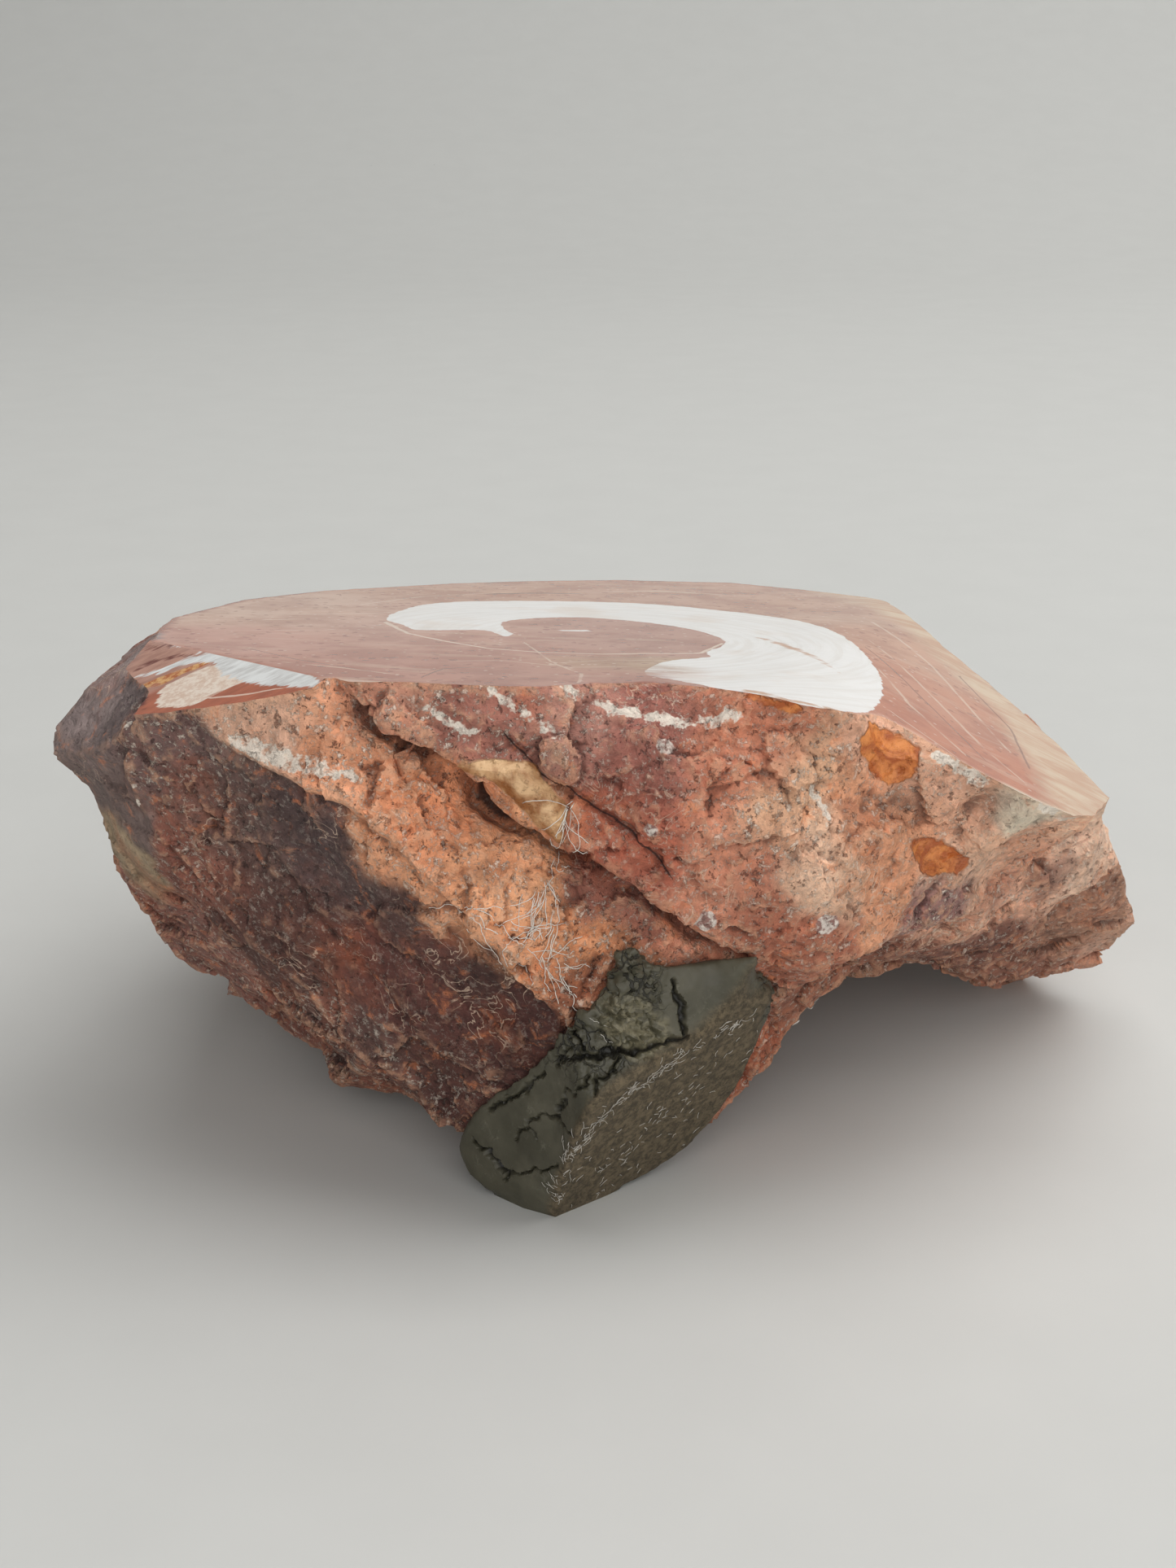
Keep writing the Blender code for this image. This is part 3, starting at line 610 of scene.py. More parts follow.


# Each place takes its tone and its roughness from the nearest rows of the list. They blend into each
# other with wandering borders, but hardly across the edge of the scoop, where the painted shade of
# the scoop meets the painted light of the ridge.
places = [Vector(point) for point in stone_points]
warp = wandering(places, 6.0, 3.0, 2.2, 1.1)
front_places = stone_points[:, [0, 2]] + warp[:, [0, 2]] * 0.18
scoop_edge = line_side(front_places, SCOOP_EDGE)
across_edge = (scoop_edge / 0.6).clip(-1, 1) * (stone_points[:, 1] < FRONT_LIMIT)
tone_weights = np.zeros(len(places))
tones = np.zeros((len(places), 3))
relief = np.zeros(len(places))
for centre, spread, colour, roughness in ROCK_TONES:
    weight = np.exp(-(2.2 * ((stone_points + warp - centre) ** 2).sum(axis=1) / spread ** 2).clip(max=60))
    weight = weight + 1e-9 / (1 + ((stone_points - centre) ** 2).sum(axis=1))
    if centre[1] < FRONT_LIMIT:
        centre_side = np.sign(line_side(np.array([[centre[0], centre[2]]]), SCOOP_EDGE)[0])
        weight *= 1 + EDGE_CONTRAST * centre_side * across_edge
    tone_weights += weight
    tones += weight[:, None] * linear(*colour)[:3]
    relief += weight * roughness
tones /= tone_weights[:, None]
relief /= tone_weights

lens = stroke_field(stone_points, AMBER_LENS)
pocket = stroke_field(stone_points, ORANGE_POCKETS)
disc = stroke_field(stone_points, CRINOID_DISCS)
cream = stroke_field(stone_points, CREAM_STREAKS)
facing_front = (-stone_normals[:, 1] * 2).clip(0, 1)
facing_front *= ((FRONT_LIMIT - stone_points[:, 1]) / FRONT_FADE).clip(0, 1)
calm = 1 - 0.85 * (1 - lens.clip(0, 1)) - 0.6 * (1 - pocket.clip(0, 1)).clip(0, 1)

# The relief in millimetres: chips and grain on the broken sides, then the ledge, grooves and rims of
# the front. It fades out towards the lip and the sole, and the polished face stays flat.
height = np.zeros(len(places))
for size, slope, seed in CHIP_SIZES:
    height += [chips(place, size, slope, seed) if rough else 0 for place, rough in zip(places, rough_point)]
grain = np.array([noise.fractal(place / GRAIN_SIZE, 0.8, 2.1, 4) if rough else 0
                  for place, rough in zip(places, rough_point)])
height = (height + GRAIN_HEIGHT * grain) * relief * calm.clip(0.1, 1)
ledge = line_side(front_places, LEDGE_LINE)
beside_ledge = facing_front * (along_line(front_places, LEDGE_LINE) < LEDGE_NEAR)
height -= beside_ledge * LEDGE_CUT * swell(ledge, -0.75, 0.75)
height += beside_ledge * LEDGE_LIP * swell(ledge, 0.9, 1.3)
for groove in SIDE_GROOVES:
    height -= facing_front * GROOVE_DEPTH * swell(along_line(front_places, groove), 0, 0.7)
height -= facing_front * CRACK_DEPTH * swell(along_line(front_places, CRACK_ABOVE), 0, 0.6)
height += facing_front * RIM_HEIGHT * swell(along_line(front_places, SCOOP_RIM), 0, 0.7)
near_edge = facing_front * (stone_points[:, 0] < -5) * (stone_points[:, 2] > 24)
height += near_edge * (EDGE_HEIGHT * swell(scoop_edge, 0.5, 0.7) - EDGE_CUT * swell(scoop_edge, -0.9, 0.9))
# Where the painted shadow of the fissures lies, and on which side of them each place is.
fissure = np.where(facing_front > 0.1, stroke_field(front_places, FISSURE_SHADOWS), 9)
fissure_side = signed_stroke(front_places, FISSURE_SHADOWS)
height += (LENS_HEIGHT * (-lens).clip(0, 1.2) + DISC_HEIGHT * (-disc).clip(0, 0.5)
           - POCKET_DEPTH * (-pocket).clip(0, 1.2))
height *= (lip_distance / LIP_CALM).clip(0.4, 1)
height *= (1 - lip_fade) * ((stone_points[:, 2] - FLAT_CALM) / SOLE_FADE).clip(0, 1)
height[~rough_point | lip_point] = 0
jitter = wandering(places, 2.6, LIP_CHIP, 0.9, LIP_CHIP * 0.4)
stone_points = stone_points + stone_normals * height[:, None] + jitter * lip_fade[:, None]
on_face = polished_height(stone_points[:, 0], stone_points[:, 1])
stone_points[:, 2] = np.where(polished_point, on_face, np.minimum(stone_points[:, 2].clip(min=0), on_face))

# How far each point stands out of its wider neighbourhood: knocked edges above zero, hollows below.
ridge = np.zeros(len(places))
hollow = stone_points
for rounds, share in ((5, 1.0), (18, 0.35)):
    for _ in range(rounds):
        hollow = neighbour_mean(hollow, stone_faces)
    ridge += share * ((stone_points - hollow) * stone_normals).sum(axis=1)


def build_mesh(name, points, faces, materials, material_rows, sharp_degrees):
    """A mesh in metres with smooth shading, broken at edges steeper than sharp_degrees."""
    mesh = bpy.data.meshes.new(name)
    mesh.vertices.add(len(points))
    mesh.vertices.foreach_set("co", (points * MM).astype(np.float32).ravel())
    mesh.loops.add(faces.size)
    mesh.loops.foreach_set("vertex_index", faces.astype(np.int32).ravel())
    mesh.polygons.add(len(faces))
    mesh.polygons.foreach_set("loop_start", np.arange(0, faces.size, 3, dtype=np.int32))
    for material in materials:
        mesh.materials.append(material)
    mesh.polygons.foreach_set("material_index", material_rows.astype(np.int32))
    mesh.update(calc_edges=True)
    mesh.shade_smooth()
    mesh.set_sharp_from_angle(angle=math.radians(sharp_degrees))
    return mesh


def set_values(mesh, **fields):
    """Stores fields that every point has, for the materials: single values, or rows of three as colours."""
    for name, values in fields.items():
        if values.ndim == 1:
            mesh.attributes.new(name, "FLOAT", "POINT").data.foreach_set("value", values.astype(np.float32))
        else:
            stored = np.hstack([values, np.ones((len(values), 1))]).astype(np.float32)
            mesh.attributes.new(name, "FLOAT_COLOR", "POINT").data.foreach_set("color", stored.ravel())


def stored(name, output="Fac"):
    """A field that set_values stored on the mesh."""
    return add_node("ShaderNodeAttribute", attribute_name=name).outputs[output]


def new_group(name, inputs, outputs):
    """A shader node group: its tree, its inputs by name, and its output sockets to plug into."""
    group = bpy.data.node_groups.new(name, "ShaderNodeTree")
    for socket, (kind, value) in inputs.items():
        made = group.interface.new_socket(socket, in_out="INPUT", socket_type="NodeSocket" + kind)
        if value is not None:
            made.default_value = value
    for socket, kind in outputs.items():
        group.interface.new_socket(socket, in_out="OUTPUT", socket_type="NodeSocket" + kind)
    return group, group.nodes.new("NodeGroupInput").outputs, group.nodes.new("NodeGroupOutput").inputs


# Ragged border: turns a stored distance into a mask with the slightly wandering edge of a real mineral.
ragged_border, given, gives = new_group(
    "ragged_border", {"Place": ("Vector", None), "Distance": ("Float", 0.0), "Wander": ("Float", 0.3),
                      "Fineness": ("Float", 600.0), "Softness": ("Float", 0.1)}, {"Mask": "Float"})
tree = ragged_border
wander = add_node("ShaderNodeTexNoise", {
    "Vector": given["Place"], "Scale": given["Fineness"], "Detail": 3.0}).outputs["Fac"]
swing = times(maths("SUBTRACT", wander, 0.5), times(given["Wander"], 4.0))
inside = maths("DIVIDE", maths("SUBTRACT", swing, given["Distance"]), given["Softness"])
edge = add_node("ShaderNodeMapRange", {"Value": inside, "From Min": -0.5, "From Max": 0.5})
plug(edge.outputs["Result"], gives["Mask"])

# Crystal grain: pale crystal flecks and dark pits over a cloudy ground, with the height that they stand
# proud. Sugar is how sugary the break is, from 0, smooth, to 1, all crystals.
crystal_grain, given, gives = new_group(
    "crystal_grain", {"Place": ("Vector", None), "Ground": ("Color", (0.5, 0.3, 0.2, 1)),
                      "Crystal": ("Color", (0.8, 0.6, 0.5, 1)), "Pit": ("Color", (0.3, 0.1, 0.1, 1)),
                      "Sugar": ("Float", 1.0), "Clouding": ("Float", 0.3)},
    {"Color": "Color", "Height": "Float", "Crystal Mask": "Float"})
tree = crystal_grain
broad = clouds(given["Place"], 4.0, 6.0, 0.65)
fine = clouds(given["Place"], 0.8, 5.0, 0.7, 0.6)
swing = maths("SUBTRACT", maths("ADD", broad, fine), 1.0)
shade = times_add(swing, times(given["Clouding"], 3.0), 1.0)
scaled = add_node("ShaderNodeVectorMath", {0: given["Ground"], 3: shade}, operation="SCALE")
patch = ramp(clouds(given["Place"], 2.4, 4.0, 0.65), 0.3, 0.54)
grit = clouds(given["Place"], 0.42, 5.0, 0.8, 0.15)
fleck = times(ramp(grit, 0.53, 0.6), times(patch, given["Sugar"]))
pit_grit = clouds(given["Place"], 0.55, 4.0, 0.75, 0.2)
pit = times(ramp(pit_grit, 0.42, 0.34), times_add(given["Sugar"], 0.6, 0.3))
pitted = mixed(pit, scaled.outputs["Vector"], given["Pit"])
plug(mixed(times(fleck, 0.9), pitted, given["Crystal"]), gives["Color"])
raised = times_add(fleck, 0.2, times_add(pit, -0.9, times(fine, 1.5)))
plug(times_add(grit, 0.25, raised), gives["Height"])
plug(fleck, gives["Crystal Mask"])


def border_mask(place, distance, wander, fineness, softness):
    """A ragged border placed in the current material."""
    return add_node("ShaderNodeGroup", {
        "Place": place, "Distance": distance, "Wander": wander, "Fineness": fineness, "Softness": softness},
        node_tree=ragged_border).outputs["Mask"]


def thin_line(place, name, width):
    """Mask of a thin vein from its signed distance, kept to the stretch where its plain distance is small."""
    wander = times(maths("SUBTRACT", clouds(place, 1.6, 3.0), 0.5), 0.5)
    across = maths("ABSOLUTE", maths("ADD", stored(name + "_side"), wander))
    near = ramp(stored(name), 0.9, 0.35)
    return times(ramp(across, width, width * 0.4), near)


# Broken limestone: the stored tone, crystals and pits all over, paler knocked edges, painted shade
# in the hollows, cream calcite streaks, small crinoid discs, amber calcite and rust-orange pockets.
broken_limestone, tree, finish, place = new_material("broken_limestone")
ground = stored("tone", "Color")
stain = ramp(clouds(place, 7.0, 5.0, 0.6), 0.5, 0.72)
ground = over(ground, stain, 0.4, (196, 108, 70))
purple = ramp(clouds(place, 3.2, 5.0, 0.65, 0.8), 0.53, 0.7)
ground = over(ground, purple, 0.4, (150, 96, 92), "MULTIPLY")
rusty = ramp(clouds(place, 1.6, 5.0, 0.7, 0.5), 0.56, 0.68)
ground = over(ground, rusty, 0.45, (228, 138, 88))
crystals = add_node("ShaderNodeGroup", {
    "Place": place, "Ground": ground, "Crystal": mixed(0.8, ground, linear(255, 240, 222)),
    "Pit": mixed(0.75, ground, linear(112, 62, 50), "MULTIPLY"), "Sugar": stored("sugar"),
    "Clouding": 0.5}, node_tree=crystal_grain)
colour = crystals.outputs["Color"]
knocked = times(ramp(stored("ridge"), 0.03, 0.3), ramp(clouds(place, 0.7), 0.36, 0.6))
knocked = times(knocked, times_add(stored("sugar"), 0.75, 0.2))
colour = over(colour, knocked, 0.62, (238, 184, 148))
# Painted shade: the colour darkens in the hollows, where less light reaches.
painted_hollow_shade = ramp(stored("ridge"), -0.06, -0.5)
colour = over(colour, painted_hollow_shade, 0.55, (90, 48, 42), "MULTIPLY")
worm = maths("ABSOLUTE", maths("SUBTRACT", clouds(place, 2.2, 3.0, 0.5, 1.2), 0.5))
worms = times(ramp(worm, 0.014, 0.004), ramp(clouds(place, 6.0), 0.5, 0.62))
colour = over(colour, worms, 0.55, (240, 210, 184))
# Painted shadow: the open fissures along the ledge and the crack above it, near-black.
colour = over(colour, thin_line(place, "fissure", 0.3), 0.85, (48, 24, 20))
cream_mask = border_mask(place, stored("cream"), 0.7, 900.0, 0.25)
cream_mask = times(cream_mask, ramp(clouds(place, 0.8, 4.0, 0.7), 0.32, 0.5))
colour = over(colour, cream_mask, 0.92, (248, 236, 220))
disc_mask = border_mask(place, stored("disc"), 0.15, 1500.0, 0.2)
disc_grain = ramp(clouds(place, 0.35, 2.0), 0.4, 0.6)
disc_colour = mixed(disc_grain, linear(160, 120, 110), linear(238, 224, 212))
colour = mixed(disc_mask, colour, disc_colour)
amber_mask = border_mask(place, stored("amber"), 0.25, 700.0, 0.25)
amber_cloud = ramp(clouds(place, 1.8, 5.0, 0.6, 0.5), 0.38, 0.66)
amber_colour = mixed(amber_cloud, linear(160, 104, 58), linear(232, 190, 142))
colour = mixed(amber_mask, colour, amber_colour)
rust_mask = border_mask(place, stored("rust"), 0.4, 700.0, 0.3)
rust_cloud = ramp(clouds(place, 1.4, 5.0, 0.6, 1.0), 0.36, 0.64)
colour = mixed(rust_mask, colour, mixed(rust_cloud, linear(178, 92, 42), linear(234, 148, 80)))
plug(colour, finish["Base Color"])
wet = maths("MAXIMUM", amber_mask, rust_mask)
dry = times_add(crystals.outputs["Crystal Mask"], -0.34, 0.78)
plug(times_add(wet, -0.42, dry), finish["Roughness"])
relief_height = times(crystals.outputs["Height"], times_add(wet, -0.7, 1.0))
bump = add_node("ShaderNodeBump", {"Height": relief_height, "Strength": 1.0, "Distance": 0.55 * MM})
plug(bump.outputs["Normal"], finish["Normal"])

# Polished limestone: pinkish brown mud with soft pale streaks, white calcite with growth lines along
# the whorl, thin pale and dark veins, and the banded layers cut by the small left facet. The polish
# is smooth and glossy, with faint smears and scratches.
polished_limestone, tree, finish, place = new_material("polished_limestone")
ground = stored("tone", "Color")
mottle = clouds(place, 5.0, 7.0, 0.62)
ground = over(ground, ramp(mottle, 0.6, 0.4), 0.5, (206, 176, 166), "MULTIPLY")
long_place = add_node("ShaderNodeMapping", {
    "Vector": place, "Rotation": (0, 0, math.radians(STREAK_TURN)),
    "Scale": (0.35, 1.6, 1.0)}).outputs["Vector"]
streak = ramp(clouds(long_place, 4.5, 5.0, 0.6, 0.8), 0.52, 0.68)
ground = over(ground, streak, 0.3, (222, 194, 170))
cells = add_node("ShaderNodeTexVoronoi", {"Vector": place, "Scale": 1300.0})
chosen = add_node("ShaderNodeSeparateColor", {"Color": cells.outputs["Color"]})
dot = times(ramp(chosen.outputs["Red"], 0.93, 0.95), ramp(cells.outputs["Distance"], 0.42, 0.2))
ground = over(ground, dot, 0.6, (232, 208, 190))
ground = over(ground, ramp(chosen.outputs["Green"], 0.94, 0.96), 0.4, (120, 66, 54))
band = border_mask(place, stored("band"), 2.2, 90.0, 5.0)
band_streak = ramp(clouds(long_place, 3.0, 5.0, 0.6, 1.0), 0.35, 0.65)
band_colour = mixed(band_streak, linear(206, 162, 130), linear(222, 196, 166))
ground = mixed(band, ground, band_colour)
shell_line = thin_line(place, "shell", 0.3)
ground = over(ground, shell_line, 0.85, (236, 214, 194))
vein = thin_line(place, "vein", 0.3)
vein = times(vein, ramp(clouds(place, 3.0, 3.0), 0.34, 0.52))
ground = over(ground, vein, 0.55, (232, 208, 186))
seam = thin_line(place, "seam", 0.26)
ground = over(ground, seam, 0.6, (112, 66, 54))
white = border_mask(place, stored("white"), 0.28, 500.0, 0.16)
wisps = ramp(clouds(long_place, 2.5, 5.0, 0.6), 0.62, 0.4)
faded = times(stored("fading"), times_add(wisps, 0.6, 0.5))
white = times(white, ramp(faded, 1.0, 0.1))
growth = add_node("ShaderNodeTexNoise", {
    "Vector": stored("whorl", "Vector"), "Scale": 1.0, "Detail": 5.0, "Roughness": 0.6,
    "Distortion": 0.25}).outputs["Fac"]
fibre = ramp(growth, 0.36, 0.6)
calcite = mixed(fibre, linear(242, 238, 233), linear(250, 248, 245))
warm = ramp(clouds(place, 8.0, 4.0), 0.52, 0.7)
calcite = over(calcite, warm, 0.35, (226, 200, 176))
amber_seam = border_mask(place, stored("amber"), 0.5, 400.0, 0.5)
calcite = over(calcite, amber_seam, 0.8, (196, 138, 92))
colour = mixed(white, ground, calcite)
fibre_place = add_node("ShaderNodeMapping", {
    "Vector": place, "Rotation": (0, 0, math.radians(FIBRE_TURN)), "Scale": (3.0, 0.55, 1.0)},
    vector_type="TEXTURE").outputs["Vector"]
layer_streak = ramp(clouds(fibre_place, 0.9, 5.0, 0.65), 0.36, 0.66)
layer_low = ramp(stored("layer_low"), -1.0, 1.0)
layer_red = mixed(layer_low, linear(192, 146, 128), linear(184, 106, 78))
layers = over(layer_red, layer_streak, 0.4, (116, 66, 54))
fine_grit = ramp(clouds(place, 0.5, 4.0, 0.7), 0.4, 0.62)
white_layer = mixed(layer_streak, linear(233, 234, 232), linear(202, 200, 197))
cream_layer = over(linear(238, 222, 206), fine_grit, 0.5, (196, 150, 120))
ochre_layer = mixed(fine_grit, linear(176, 96, 52), linear(222, 172, 112))
for field, wander, softness, tint in (
        ("layer_dark", 0.7, 0.5, linear(112, 58, 50)), ("layer_ochre", 0.5, 0.5, ochre_layer),
        ("layer_cream", 0.5, 0.3, cream_layer), ("layer_white", 0.6, 0.3, white_layer)):
    mask = border_mask(fibre_place, stored(field), wander, 650.0, softness)
    layers = mixed(mask, layers, tint)
layers = over(layers, thin_line(place, "layer_vein", 0.3), 0.8, (232, 206, 188))
facet = ramp(stored("facet"), -0.1, 0.1)
colour = mixed(facet, colour, layers)
plug(colour, finish["Base Color"])
smear = clouds(place, 14.0, 5.0, 0.6)
scratches = clouds(long_place, 0.5, 2.0)
sheen = times_add(smear, 0.16, 0.1)
plug(times_add(scratches, 0.06, sheen), finish["Roughness"])
bump = add_node("ShaderNodeBump", {
    "Height": clouds(place, 2.5, 3.0), "Strength": 0.05, "Distance": 0.4 * MM})
plug(bump.outputs["Normal"], finish["Normal"])

# The polished ground: the colour of the mud at places on the face (x, y), and how far each spreads.
FACE_TONES = [
    ((-2, -8), 12, (190, 142, 124)), ((-20, -20), 12, (200, 148, 128)), ((-30, 0), 14, (208, 162, 142)),
    ((-45, 10), 12, (218, 182, 160)), ((-20, 40), 14, (202, 158, 134)), ((10, 45), 14, (202, 158, 136)),
    ((30, 35), 12, (206, 164, 140)), ((-10, -40), 10, (190, 134, 114)), ((-30, -42), 10, (194, 136, 116)),
    ((38, -20), 8, (202, 138, 108)), ((36, -44), 8, (198, 122, 88)), ((44, 0), 8, (208, 158, 130)),
    ((-5, -34), 5, (186, 152, 120)), ((3, -34), 4, (192, 160, 128)), ((-48, -22), 8, (206, 154, 136)),
]
flat_warp = stone_points[:, :2] + warp[:, :2] * 0.6
face_tones = np.zeros((len(places), 3))
face_weights = np.zeros(len(places))
for centre, spread, tint in FACE_TONES:
    weight = np.exp(-(((flat_warp - centre) ** 2).sum(axis=1) / spread ** 2).clip(max=60)) + 1e-9
    face_tones += weight[:, None] * linear(*tint)[:3]
    face_weights += weight
tones = np.where(polished_point[:, None] & ~lip_point[:, None], face_tones / face_weights[:, None], tones)

face_places = stone_points[:, :2]
heart = face_places - WHORL_CENTRE
turn = np.arctan2(heart[:, 1], heart[:, 0])
radius = np.hypot(heart[:, 0], heart[:, 1])
whorl = np.stack([turn * 2.2, radius * 0.9 + turn * 1.6, radius * 0], axis=1)
run_x, run_y = np.subtract(CREASE_END, CREASE_START)
facet_side = ((face_places[:, 0] - CREASE_START[0]) * run_y - (face_places[:, 1] - CREASE_START[1]) * run_x)
facet_side /= math.hypot(run_x, run_y)
white_field = np.minimum(outline_field(face_places, WHITE_CALCITE), stroke_field(face_places, [WHORL_HEART]))
fading = np.exp(-((face_places - FADING_SPOT) ** 2).sum(axis=1) / FADING_REACH ** 2)


stone_mesh = build_mesh("red_limestone_block", stone_points, stone_faces,
                        [broken_limestone, polished_limestone], polished_face, STONE_SHARP)
set_values(
    stone_mesh, tone=tones, ridge=ridge, sugar=relief.clip(0, 1) ** 2, cream=cream, disc=disc, rust=pocket,
    fissure=fissure, fissure_side=fissure_side,
    amber=np.where(polished_point, stroke_field(face_places, AMBER_SEAMS), lens),
    white=white_field, fading=fading, whorl=whorl, facet=facet_side,
    band=-line_side(face_places, BAND_LINE), layer_low=-line_side(face_places, FACET_SPLIT),
    layer_cream=outline_field(face_places, FACET_CREAM), layer_white=stroke_field(face_places, FACET_WHITE),
    layer_dark=stroke_field(face_places, FACET_DARK), layer_ochre=stroke_field(face_places, FACET_OCHRE))
for name, strokes in (("shell", [SHELL_LINE]), ("vein", PALE_VEINS), ("seam", DARK_SEAMS),
                      ("layer_vein", FACET_VEIN)):
    set_values(stone_mesh, **{name: stroke_field(face_places, strokes),
                              name + "_side": signed_stroke(face_places, strokes)})
stone_block = add_object("red_limestone_block", stone_mesh)
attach(stone_block, "root")
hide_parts("fossil_stone")


# ---------------------------------------------------------------------------------------------
# The stand: a lump of grey-green modelling clay pressed under the front of the block by hand. It has
# dried: it is cracked and crumbly where it was folded, and dusty with lint on its flat right side.
clay_points, clay_faces = solid_triangles("clay_foot")
# Its cracks, seen from the front (x, z, half width), the heart, reach and lean of the folds, and the
# plane of the flat side: y at the origin, and how y changes with x and z.
CLAY_CRACKS = [
    [(5, 32.5, 0.15), (5.8, 30.1, 0.35), (6.4, 27.3, 0.4), (6.5, 25.5, 0.25)],
    [(-8.5, 22.7, 0.2), (-5.2, 24.1, 0.3), (-2.5, 24.7, 0.35), (0.2, 24.8, 0.35), (3, 24.8, 0.3),
     (7, 25.1, 0.2)],
    [(-6.3, 27.6, 0.1), (-6.1, 26.2, 0.25), (-5.2, 24.7, 0.3)],
    [(-8.6, 21.7, 0.2), (-8.2, 22.9, 0.25), (-6.8, 24.9, 0.1)],
    [(-1.2, 24, 0.15), (-1.4, 23, 0.2), (-3.6, 21.9, 0.15), (-4, 20.6, 0.15)],
    [(-4.6, 22.3, 0.15), (-7.3, 19, 0.15), (-8, 16.3, 0.2), (-8.4, 15, 0.2), (-10.7, 14.3, 0.1),
     (-13.8, 9.7, 0.15)],
    [(-19, 7.6, 0.2), (-17.9, 6.8, 0.3), (-16.8, 7.1, 0.25), (-16, 5.6, 0.35), (-14.4, 5, 0.25),
     (-15, 3.9, 0.1)],
    [(-14.4, 5, 0.15), (-10.7, 7, 0.12), (-8.4, 9, 0.1)],
    [(-17, 12.2, 0.2), (-13.8, 15.4, 0.2), (-12.2, 17.1, 0.15), (-10, 19.8, 0.15)],
    [(-8.4, 15, 0.15), (-5.5, 14.4, 0.12)], [(-12, 13, 0.1), (-11.2, 11.2, 0.1)],
]
FOLD_HEART, FOLD_REACH, FOLD_LEAN = (0.6, 27.2), (5.2, 2.9), math.radians(-38)
FLAT_SIDE = (-51.2, 0.8, -0.59)
CRACK_CUT, FOLD_HEIGHT, KNEAD_HEIGHT, FUZZ_HEIGHT = 0.9, 0.3, 0.3, 0.08
CLAY_SHARP = 50                       # degrees


def clay_reach(middles, parent):
    """Longest edge wanted at each place: finest along the cracks, coarse out of sight."""
    in_front = middles[:, 1] < -46
    beside = stroke_field(middles[:, [0, 2]], CLAY_CRACKS)
    return np.where(in_front, np.clip(0.3 + 0.3 * beside, 0.3, 0.55), 1.6)


clay_points, clay_faces, _ = split_long_edges(clay_points, clay_faces, clay_reach)
off_flat = (FLAT_SIDE[0] + FLAT_SIDE[1] * clay_points[:, 0] + FLAT_SIDE[2] * clay_points[:, 2]
            - clay_points[:, 1]) / math.sqrt(1 + FLAT_SIDE[1] ** 2 + FLAT_SIDE[2] ** 2)
for _ in range(12):
    softened = neighbour_mean(clay_points, clay_faces)
    keep = clay_points[:, 2] < 0.3
    clay_points = np.where(keep[:, None], clay_points, softened)
clay_normals = corner_normals(clay_points, clay_faces, 5)
clay_front = ((-clay_normals[:, 1]) * 2.5).clip(0, 1)
clay_places = [Vector(point) for point in clay_points]
seen = clay_points[:, [0, 2]] + wandering(clay_places, 1.8, 0.7, 0.7, 0.3)[:, [0, 2]]
crack = stroke_field(seen, CLAY_CRACKS)
from_heart = (seen - FOLD_HEART).T
turned_x = from_heart[0] * math.cos(FOLD_LEAN) + from_heart[1] * math.sin(FOLD_LEAN)
turned_z = from_heart[1] * math.cos(FOLD_LEAN) - from_heart[0] * math.sin(FOLD_LEAN)
in_folds = (1.15 - np.hypot(turned_x / FOLD_REACH[0], turned_z / FOLD_REACH[1])).clip(0, 0.3) / 0.3
in_folds *= clay_front
folds = np.sin(turned_z * 5.2 + 0.9 * np.sin(turned_x * 0.7))
crumbly = ((clay_points[:, 2] - 20) / 5).clip(0, 1) * (1 - ((clay_points[:, 0] - 2) / 3).clip(0, 1))
crumbly = np.maximum(crumbly, ((clay_points[:, 0] - 15) / 1.5).clip(0, 1) * (clay_points[:, 2] > 22))
crumbs = np.array([chips(place, 1.5, 0.35, 5.5) + chips(place, 0.8, 0.3, 2.5) for place in clay_places])
knead = np.array([noise.fractal(place / 7.0, 0.9, 2.0, 4) for place in clay_places])
on_flat = (1.4 - np.abs(off_flat)).clip(0, 1)
fuzz = np.array([noise.fractal(place / 0.8, 0.7, 2.0, 3) for place in clay_places])
clay_height = KNEAD_HEIGHT * knead * (1 - on_flat) + crumbs * (2.2 * crumbly + 0.15) * (1 - on_flat)
clay_height += FOLD_HEIGHT * folds * in_folds + FUZZ_HEIGHT * fuzz * on_flat
carve = (0.1 - crack).clip(0, 0.36) / 0.36
clay_height -= clay_front * CRACK_CUT * carve ** 0.7
clay_height *= ((clay_points[:, 2] - 0.2) / 1.2).clip(0, 1)
clay_points = clay_points + clay_normals * clay_height[:, None]
clay_points[:, 2] = clay_points[:, 2].clip(min=0)

# Dry clay: mottled grey-green, chalky in places, with painted shade in its cracks and between its
# crumbs, paler in the folds, and brownish with dust on the flat side.
dry_clay, tree, finish, place = new_material("dry_clay")
broad = clouds(place, 6.0, 5.0, 0.6)
colour = mixed(ramp(broad, 0.36, 0.64), linear(68, 65, 50), linear(92, 88, 72))
chalky = ramp(clouds(place, 1.1, 5.0, 0.7), 0.56, 0.74)
colour = over(colour, chalky, 0.35, (136, 132, 114))
folded = stored("folds")
fold_streak = ramp(clouds(place, 0.7, 4.0, 0.6, 1.0), 0.4, 0.6)
fold_tint = mixed(fold_streak, linear(80, 76, 58), linear(124, 117, 94))
colour = mixed(folded, colour, fold_tint)
dusty = stored("dusty")
felt = clouds(place, 0.5, 6.0, 0.82, 0.3)
dust_tint = mixed(ramp(felt, 0.4, 0.62), linear(68, 59, 43), linear(114, 100, 77))
colour = mixed(dusty, colour, dust_tint)
bend = add_node("ShaderNodeTexNoise", {"Vector": place, "Scale": 700.0, "Detail": 2.0}).outputs["Color"]
bent_place = add_node("ShaderNodeVectorMath", {0: bend, 1: (1.6 * MM, 1.6 * MM, 1.6 * MM), 2: place},
                      operation="MULTIPLY_ADD").outputs["Vector"]
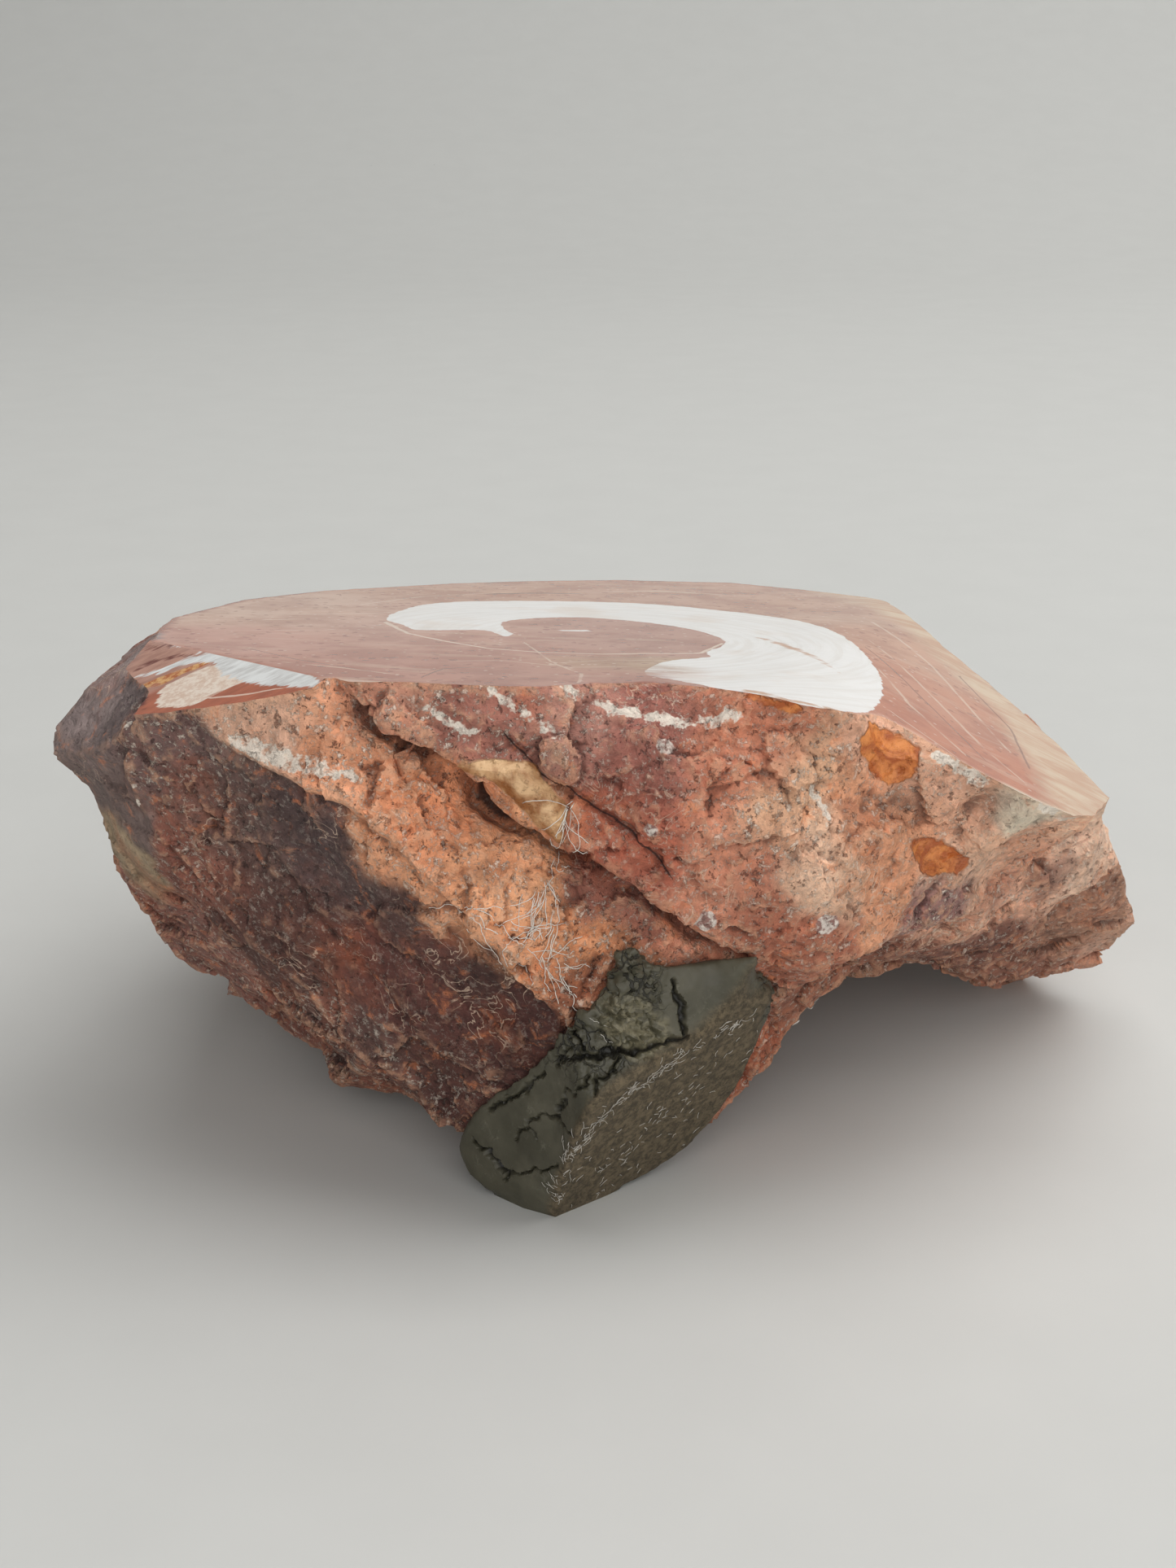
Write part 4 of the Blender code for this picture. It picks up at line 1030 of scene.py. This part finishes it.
net = add_node("ShaderNodeTexVoronoi", {"Vector": bent_place, "Scale": 430.0},
               feature="DISTANCE_TO_EDGE").outputs["Distance"]
# Painted shade: a dark net in the gaps between the crumbs of the crumbled parts.
net_mask = times(ramp(net, 0.07, 0.02), stored("crumbly"))
colour = over(colour, net_mask, 0.8, (30, 28, 21))
# Painted shade: the cracks are painted near-black.
colour = over(colour, stored("crack"), 0.92, (22, 20, 15))
plug(colour, finish["Base Color"])
plug(times_add(dusty, 0.3, times_add(broad, 0.2, 0.42)), finish["Roughness"])
clay_grain = times_add(net_mask, -1.2, times_add(felt, times_add(dusty, 0.5, 0.15), times(chalky, 0.3)))
bump = add_node("ShaderNodeBump", {"Height": clay_grain, "Strength": 0.8, "Distance": 0.3 * MM})
plug(bump.outputs["Normal"], finish["Normal"])

clay_mesh = build_mesh("clay_stand", clay_points, clay_faces, [dry_clay], np.zeros(len(clay_faces)),
                       CLAY_SHARP)
set_values(clay_mesh, crack=((0.05 - crack) / 0.22).clip(0, 1) * clay_front, folds=in_folds, dusty=on_flat,
           crumbly=crumbly * clay_front * (1 - on_flat) * (1 - in_folds))
clay_stand = add_object("clay_stand", clay_mesh)
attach(clay_stand, "root")
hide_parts("clay_foot")


# ---------------------------------------------------------------------------------------------
# The lint: pale textile fibres caught on the rough stone below the amber and on the dusty side of
# the clay. They only lie there, pressed on or loosely, and are a twentieth to a tenth of a
# millimetre thick.
LINT_STEP = 0.4                       # between the bends of a fibre
STONE_FIBRE, CLAY_FIBRE = 0.05, 0.024     # half the thickness of a fibre
STONE_SCATTER, CLAY_SCATTER = 0.3, 1.2    # how far fibres turn from the path that they follow
STONE_CURL, CLAY_CURL = 0.15, 0.5
# Each group of fibres is a path (x, y, z), a count, how far they stray from it, and their lengths.
STONE_LINT = [
    ([(-6.3, -57.2, 54.6), (-7.2, -57.2, 52.6), (-8.6, -55.5, 49.5), (-9, -54.4, 46.5)], 16, 0.2, (4, 7)),
    ([(-9, -54.4, 46.5), (-9.9, -56.9, 44.2), (-11.5, -60, 41)], 12, 0.5, (3, 7)),
    ([(-9.9, -56.9, 44.2), (-8.4, -58.5, 41.5), (-9.3, -60, 38)], 8, 0.4, (3, 6)),
    ([(-19.5, -61.8, 42.5), (-16.5, -61.5, 40.5), (-12.5, -61.4, 38), (-9.5, -60.8, 36), (-8, -60.4, 33.5)],
     30, 0.6, (3, 7)),
    ([(25.5, -34, 18), (24.5, -35.5, 14)], 8, 0.5, (1, 2.5))]
CLAY_LINT = [
    ([(-9.3, -59.2, 3), (-7.3, -63.1, 10.7), (-4.5, -64, 15.5), (-0.9, -63.3, 19.2), (4.5, -60.9, 22),
      (9.2, -58.1, 24.2), (15.2, -54.1, 25.6)], 150, 0.6, (0.9, 2.6)),
    ([(-5, -56, 6), (2, -54, 9), (8, -52, 14), (12, -52, 20)], 70, 4.0, (0.8, 2.0)),
    ([(-2, -58, 4), (4, -57, 12), (11, -54, 19)], 60, 3.0, (0.8, 1.8)),
    ([(-5.2, -61.2, 29.2), (-4, -62.3, 27.7), (-2.9, -62.6, 26.1)], 2, 0.1, (3.5, 4))]
chance = np.random.default_rng(11)


def nearby_surface(points, faces, low, high):
    """A search tree of the triangles whose middles lie in a box."""
    middles = points[faces].mean(axis=1)
    inside = ((middles > low) & (middles < high)).all(axis=1)
    return bvhtree.BVHTree.FromPolygons(points.tolist(), faces[inside].tolist())


def lay_fibre(surface, start, heading, length, curl):
    """A wandering line over a surface: its places and the surface's normals there."""
    spot, heading, line = Vector(start), Vector(heading), []
    lift = chance.uniform(0.08, 0.3)
    for _ in range(max(3, int(length / LINT_STEP))):
        found, normal, _, _ = surface.find_nearest(spot)
        line.append((found + normal * lift, normal))
        heading = heading + Vector(chance.normal(0, curl, 3))
        heading = (heading - normal * heading.dot(normal)).normalized()
        spot = found + heading * LINT_STEP
    return line


def lint_object(name, surface, groups, radius, scatter, curl):
    """Lays the groups of fibres on a surface, as one mesh of thin three-sided tubes, and adds it."""
    points, faces = [], []
    for path, count, stray, lengths in groups:
        for _ in range(count):
            leg = chance.integers(len(path) - 1)
            run = np.subtract(path[leg + 1], path[leg])
            start = path[leg] + chance.uniform(0, 1) * run + chance.normal(0, stray, 3)
            heading = run / np.linalg.norm(run) + chance.normal(0, scatter, 3)
            line = lay_fibre(surface, start, heading, chance.uniform(*lengths), curl)
            first = len(points)
            for i, (spot, normal) in enumerate(line):
                ahead = (line[min(i + 1, len(line) - 1)][0] - line[max(i - 1, 0)][0]).normalized()
                side = ahead.cross(normal).normalized()
                up = side.cross(ahead)
                for turn in (0, math.tau / 3, 2 * math.tau / 3):
                    points.append(spot + radius * (side * math.cos(turn) + up * math.sin(turn)))
            for ring in range(first, len(points) - 3, 3):
                for k in range(3):
                    a, b = ring + k, ring + (k + 1) % 3
                    faces += [(a, b, b + 3), (a, b + 3, a + 3)]
            faces += [(first + 2, first + 1, first), (len(points) - 3, len(points) - 2, len(points) - 1)]
    faces = np.array(faces)
    lint = add_object(name, build_mesh(name, np.array(points), faces, [pale_lint], np.zeros(len(faces)), 180))
    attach(lint, "root")


pale_lint, tree, finish, place = new_material("pale_lint")
thread = mixed(clouds(place, 3.0), linear(226, 218, 204), linear(250, 247, 240))
plug(thread, finish["Base Color"])
finish["Roughness"].default_value = 0.9
stone_front = nearby_surface(stone_points, stone_faces, (-24, -70, 5), (32, -25, 60))
clay_front_side = nearby_surface(clay_points, clay_faces, (-30, -75, 0.6), (25, -44, 40))
lint_object("lint_on_block", stone_front, STONE_LINT, STONE_FIBRE, STONE_SCATTER, STONE_CURL)
lint_object("lint_on_clay", clay_front_side, CLAY_LINT, CLAY_FIBRE, CLAY_SCATTER, CLAY_CURL)
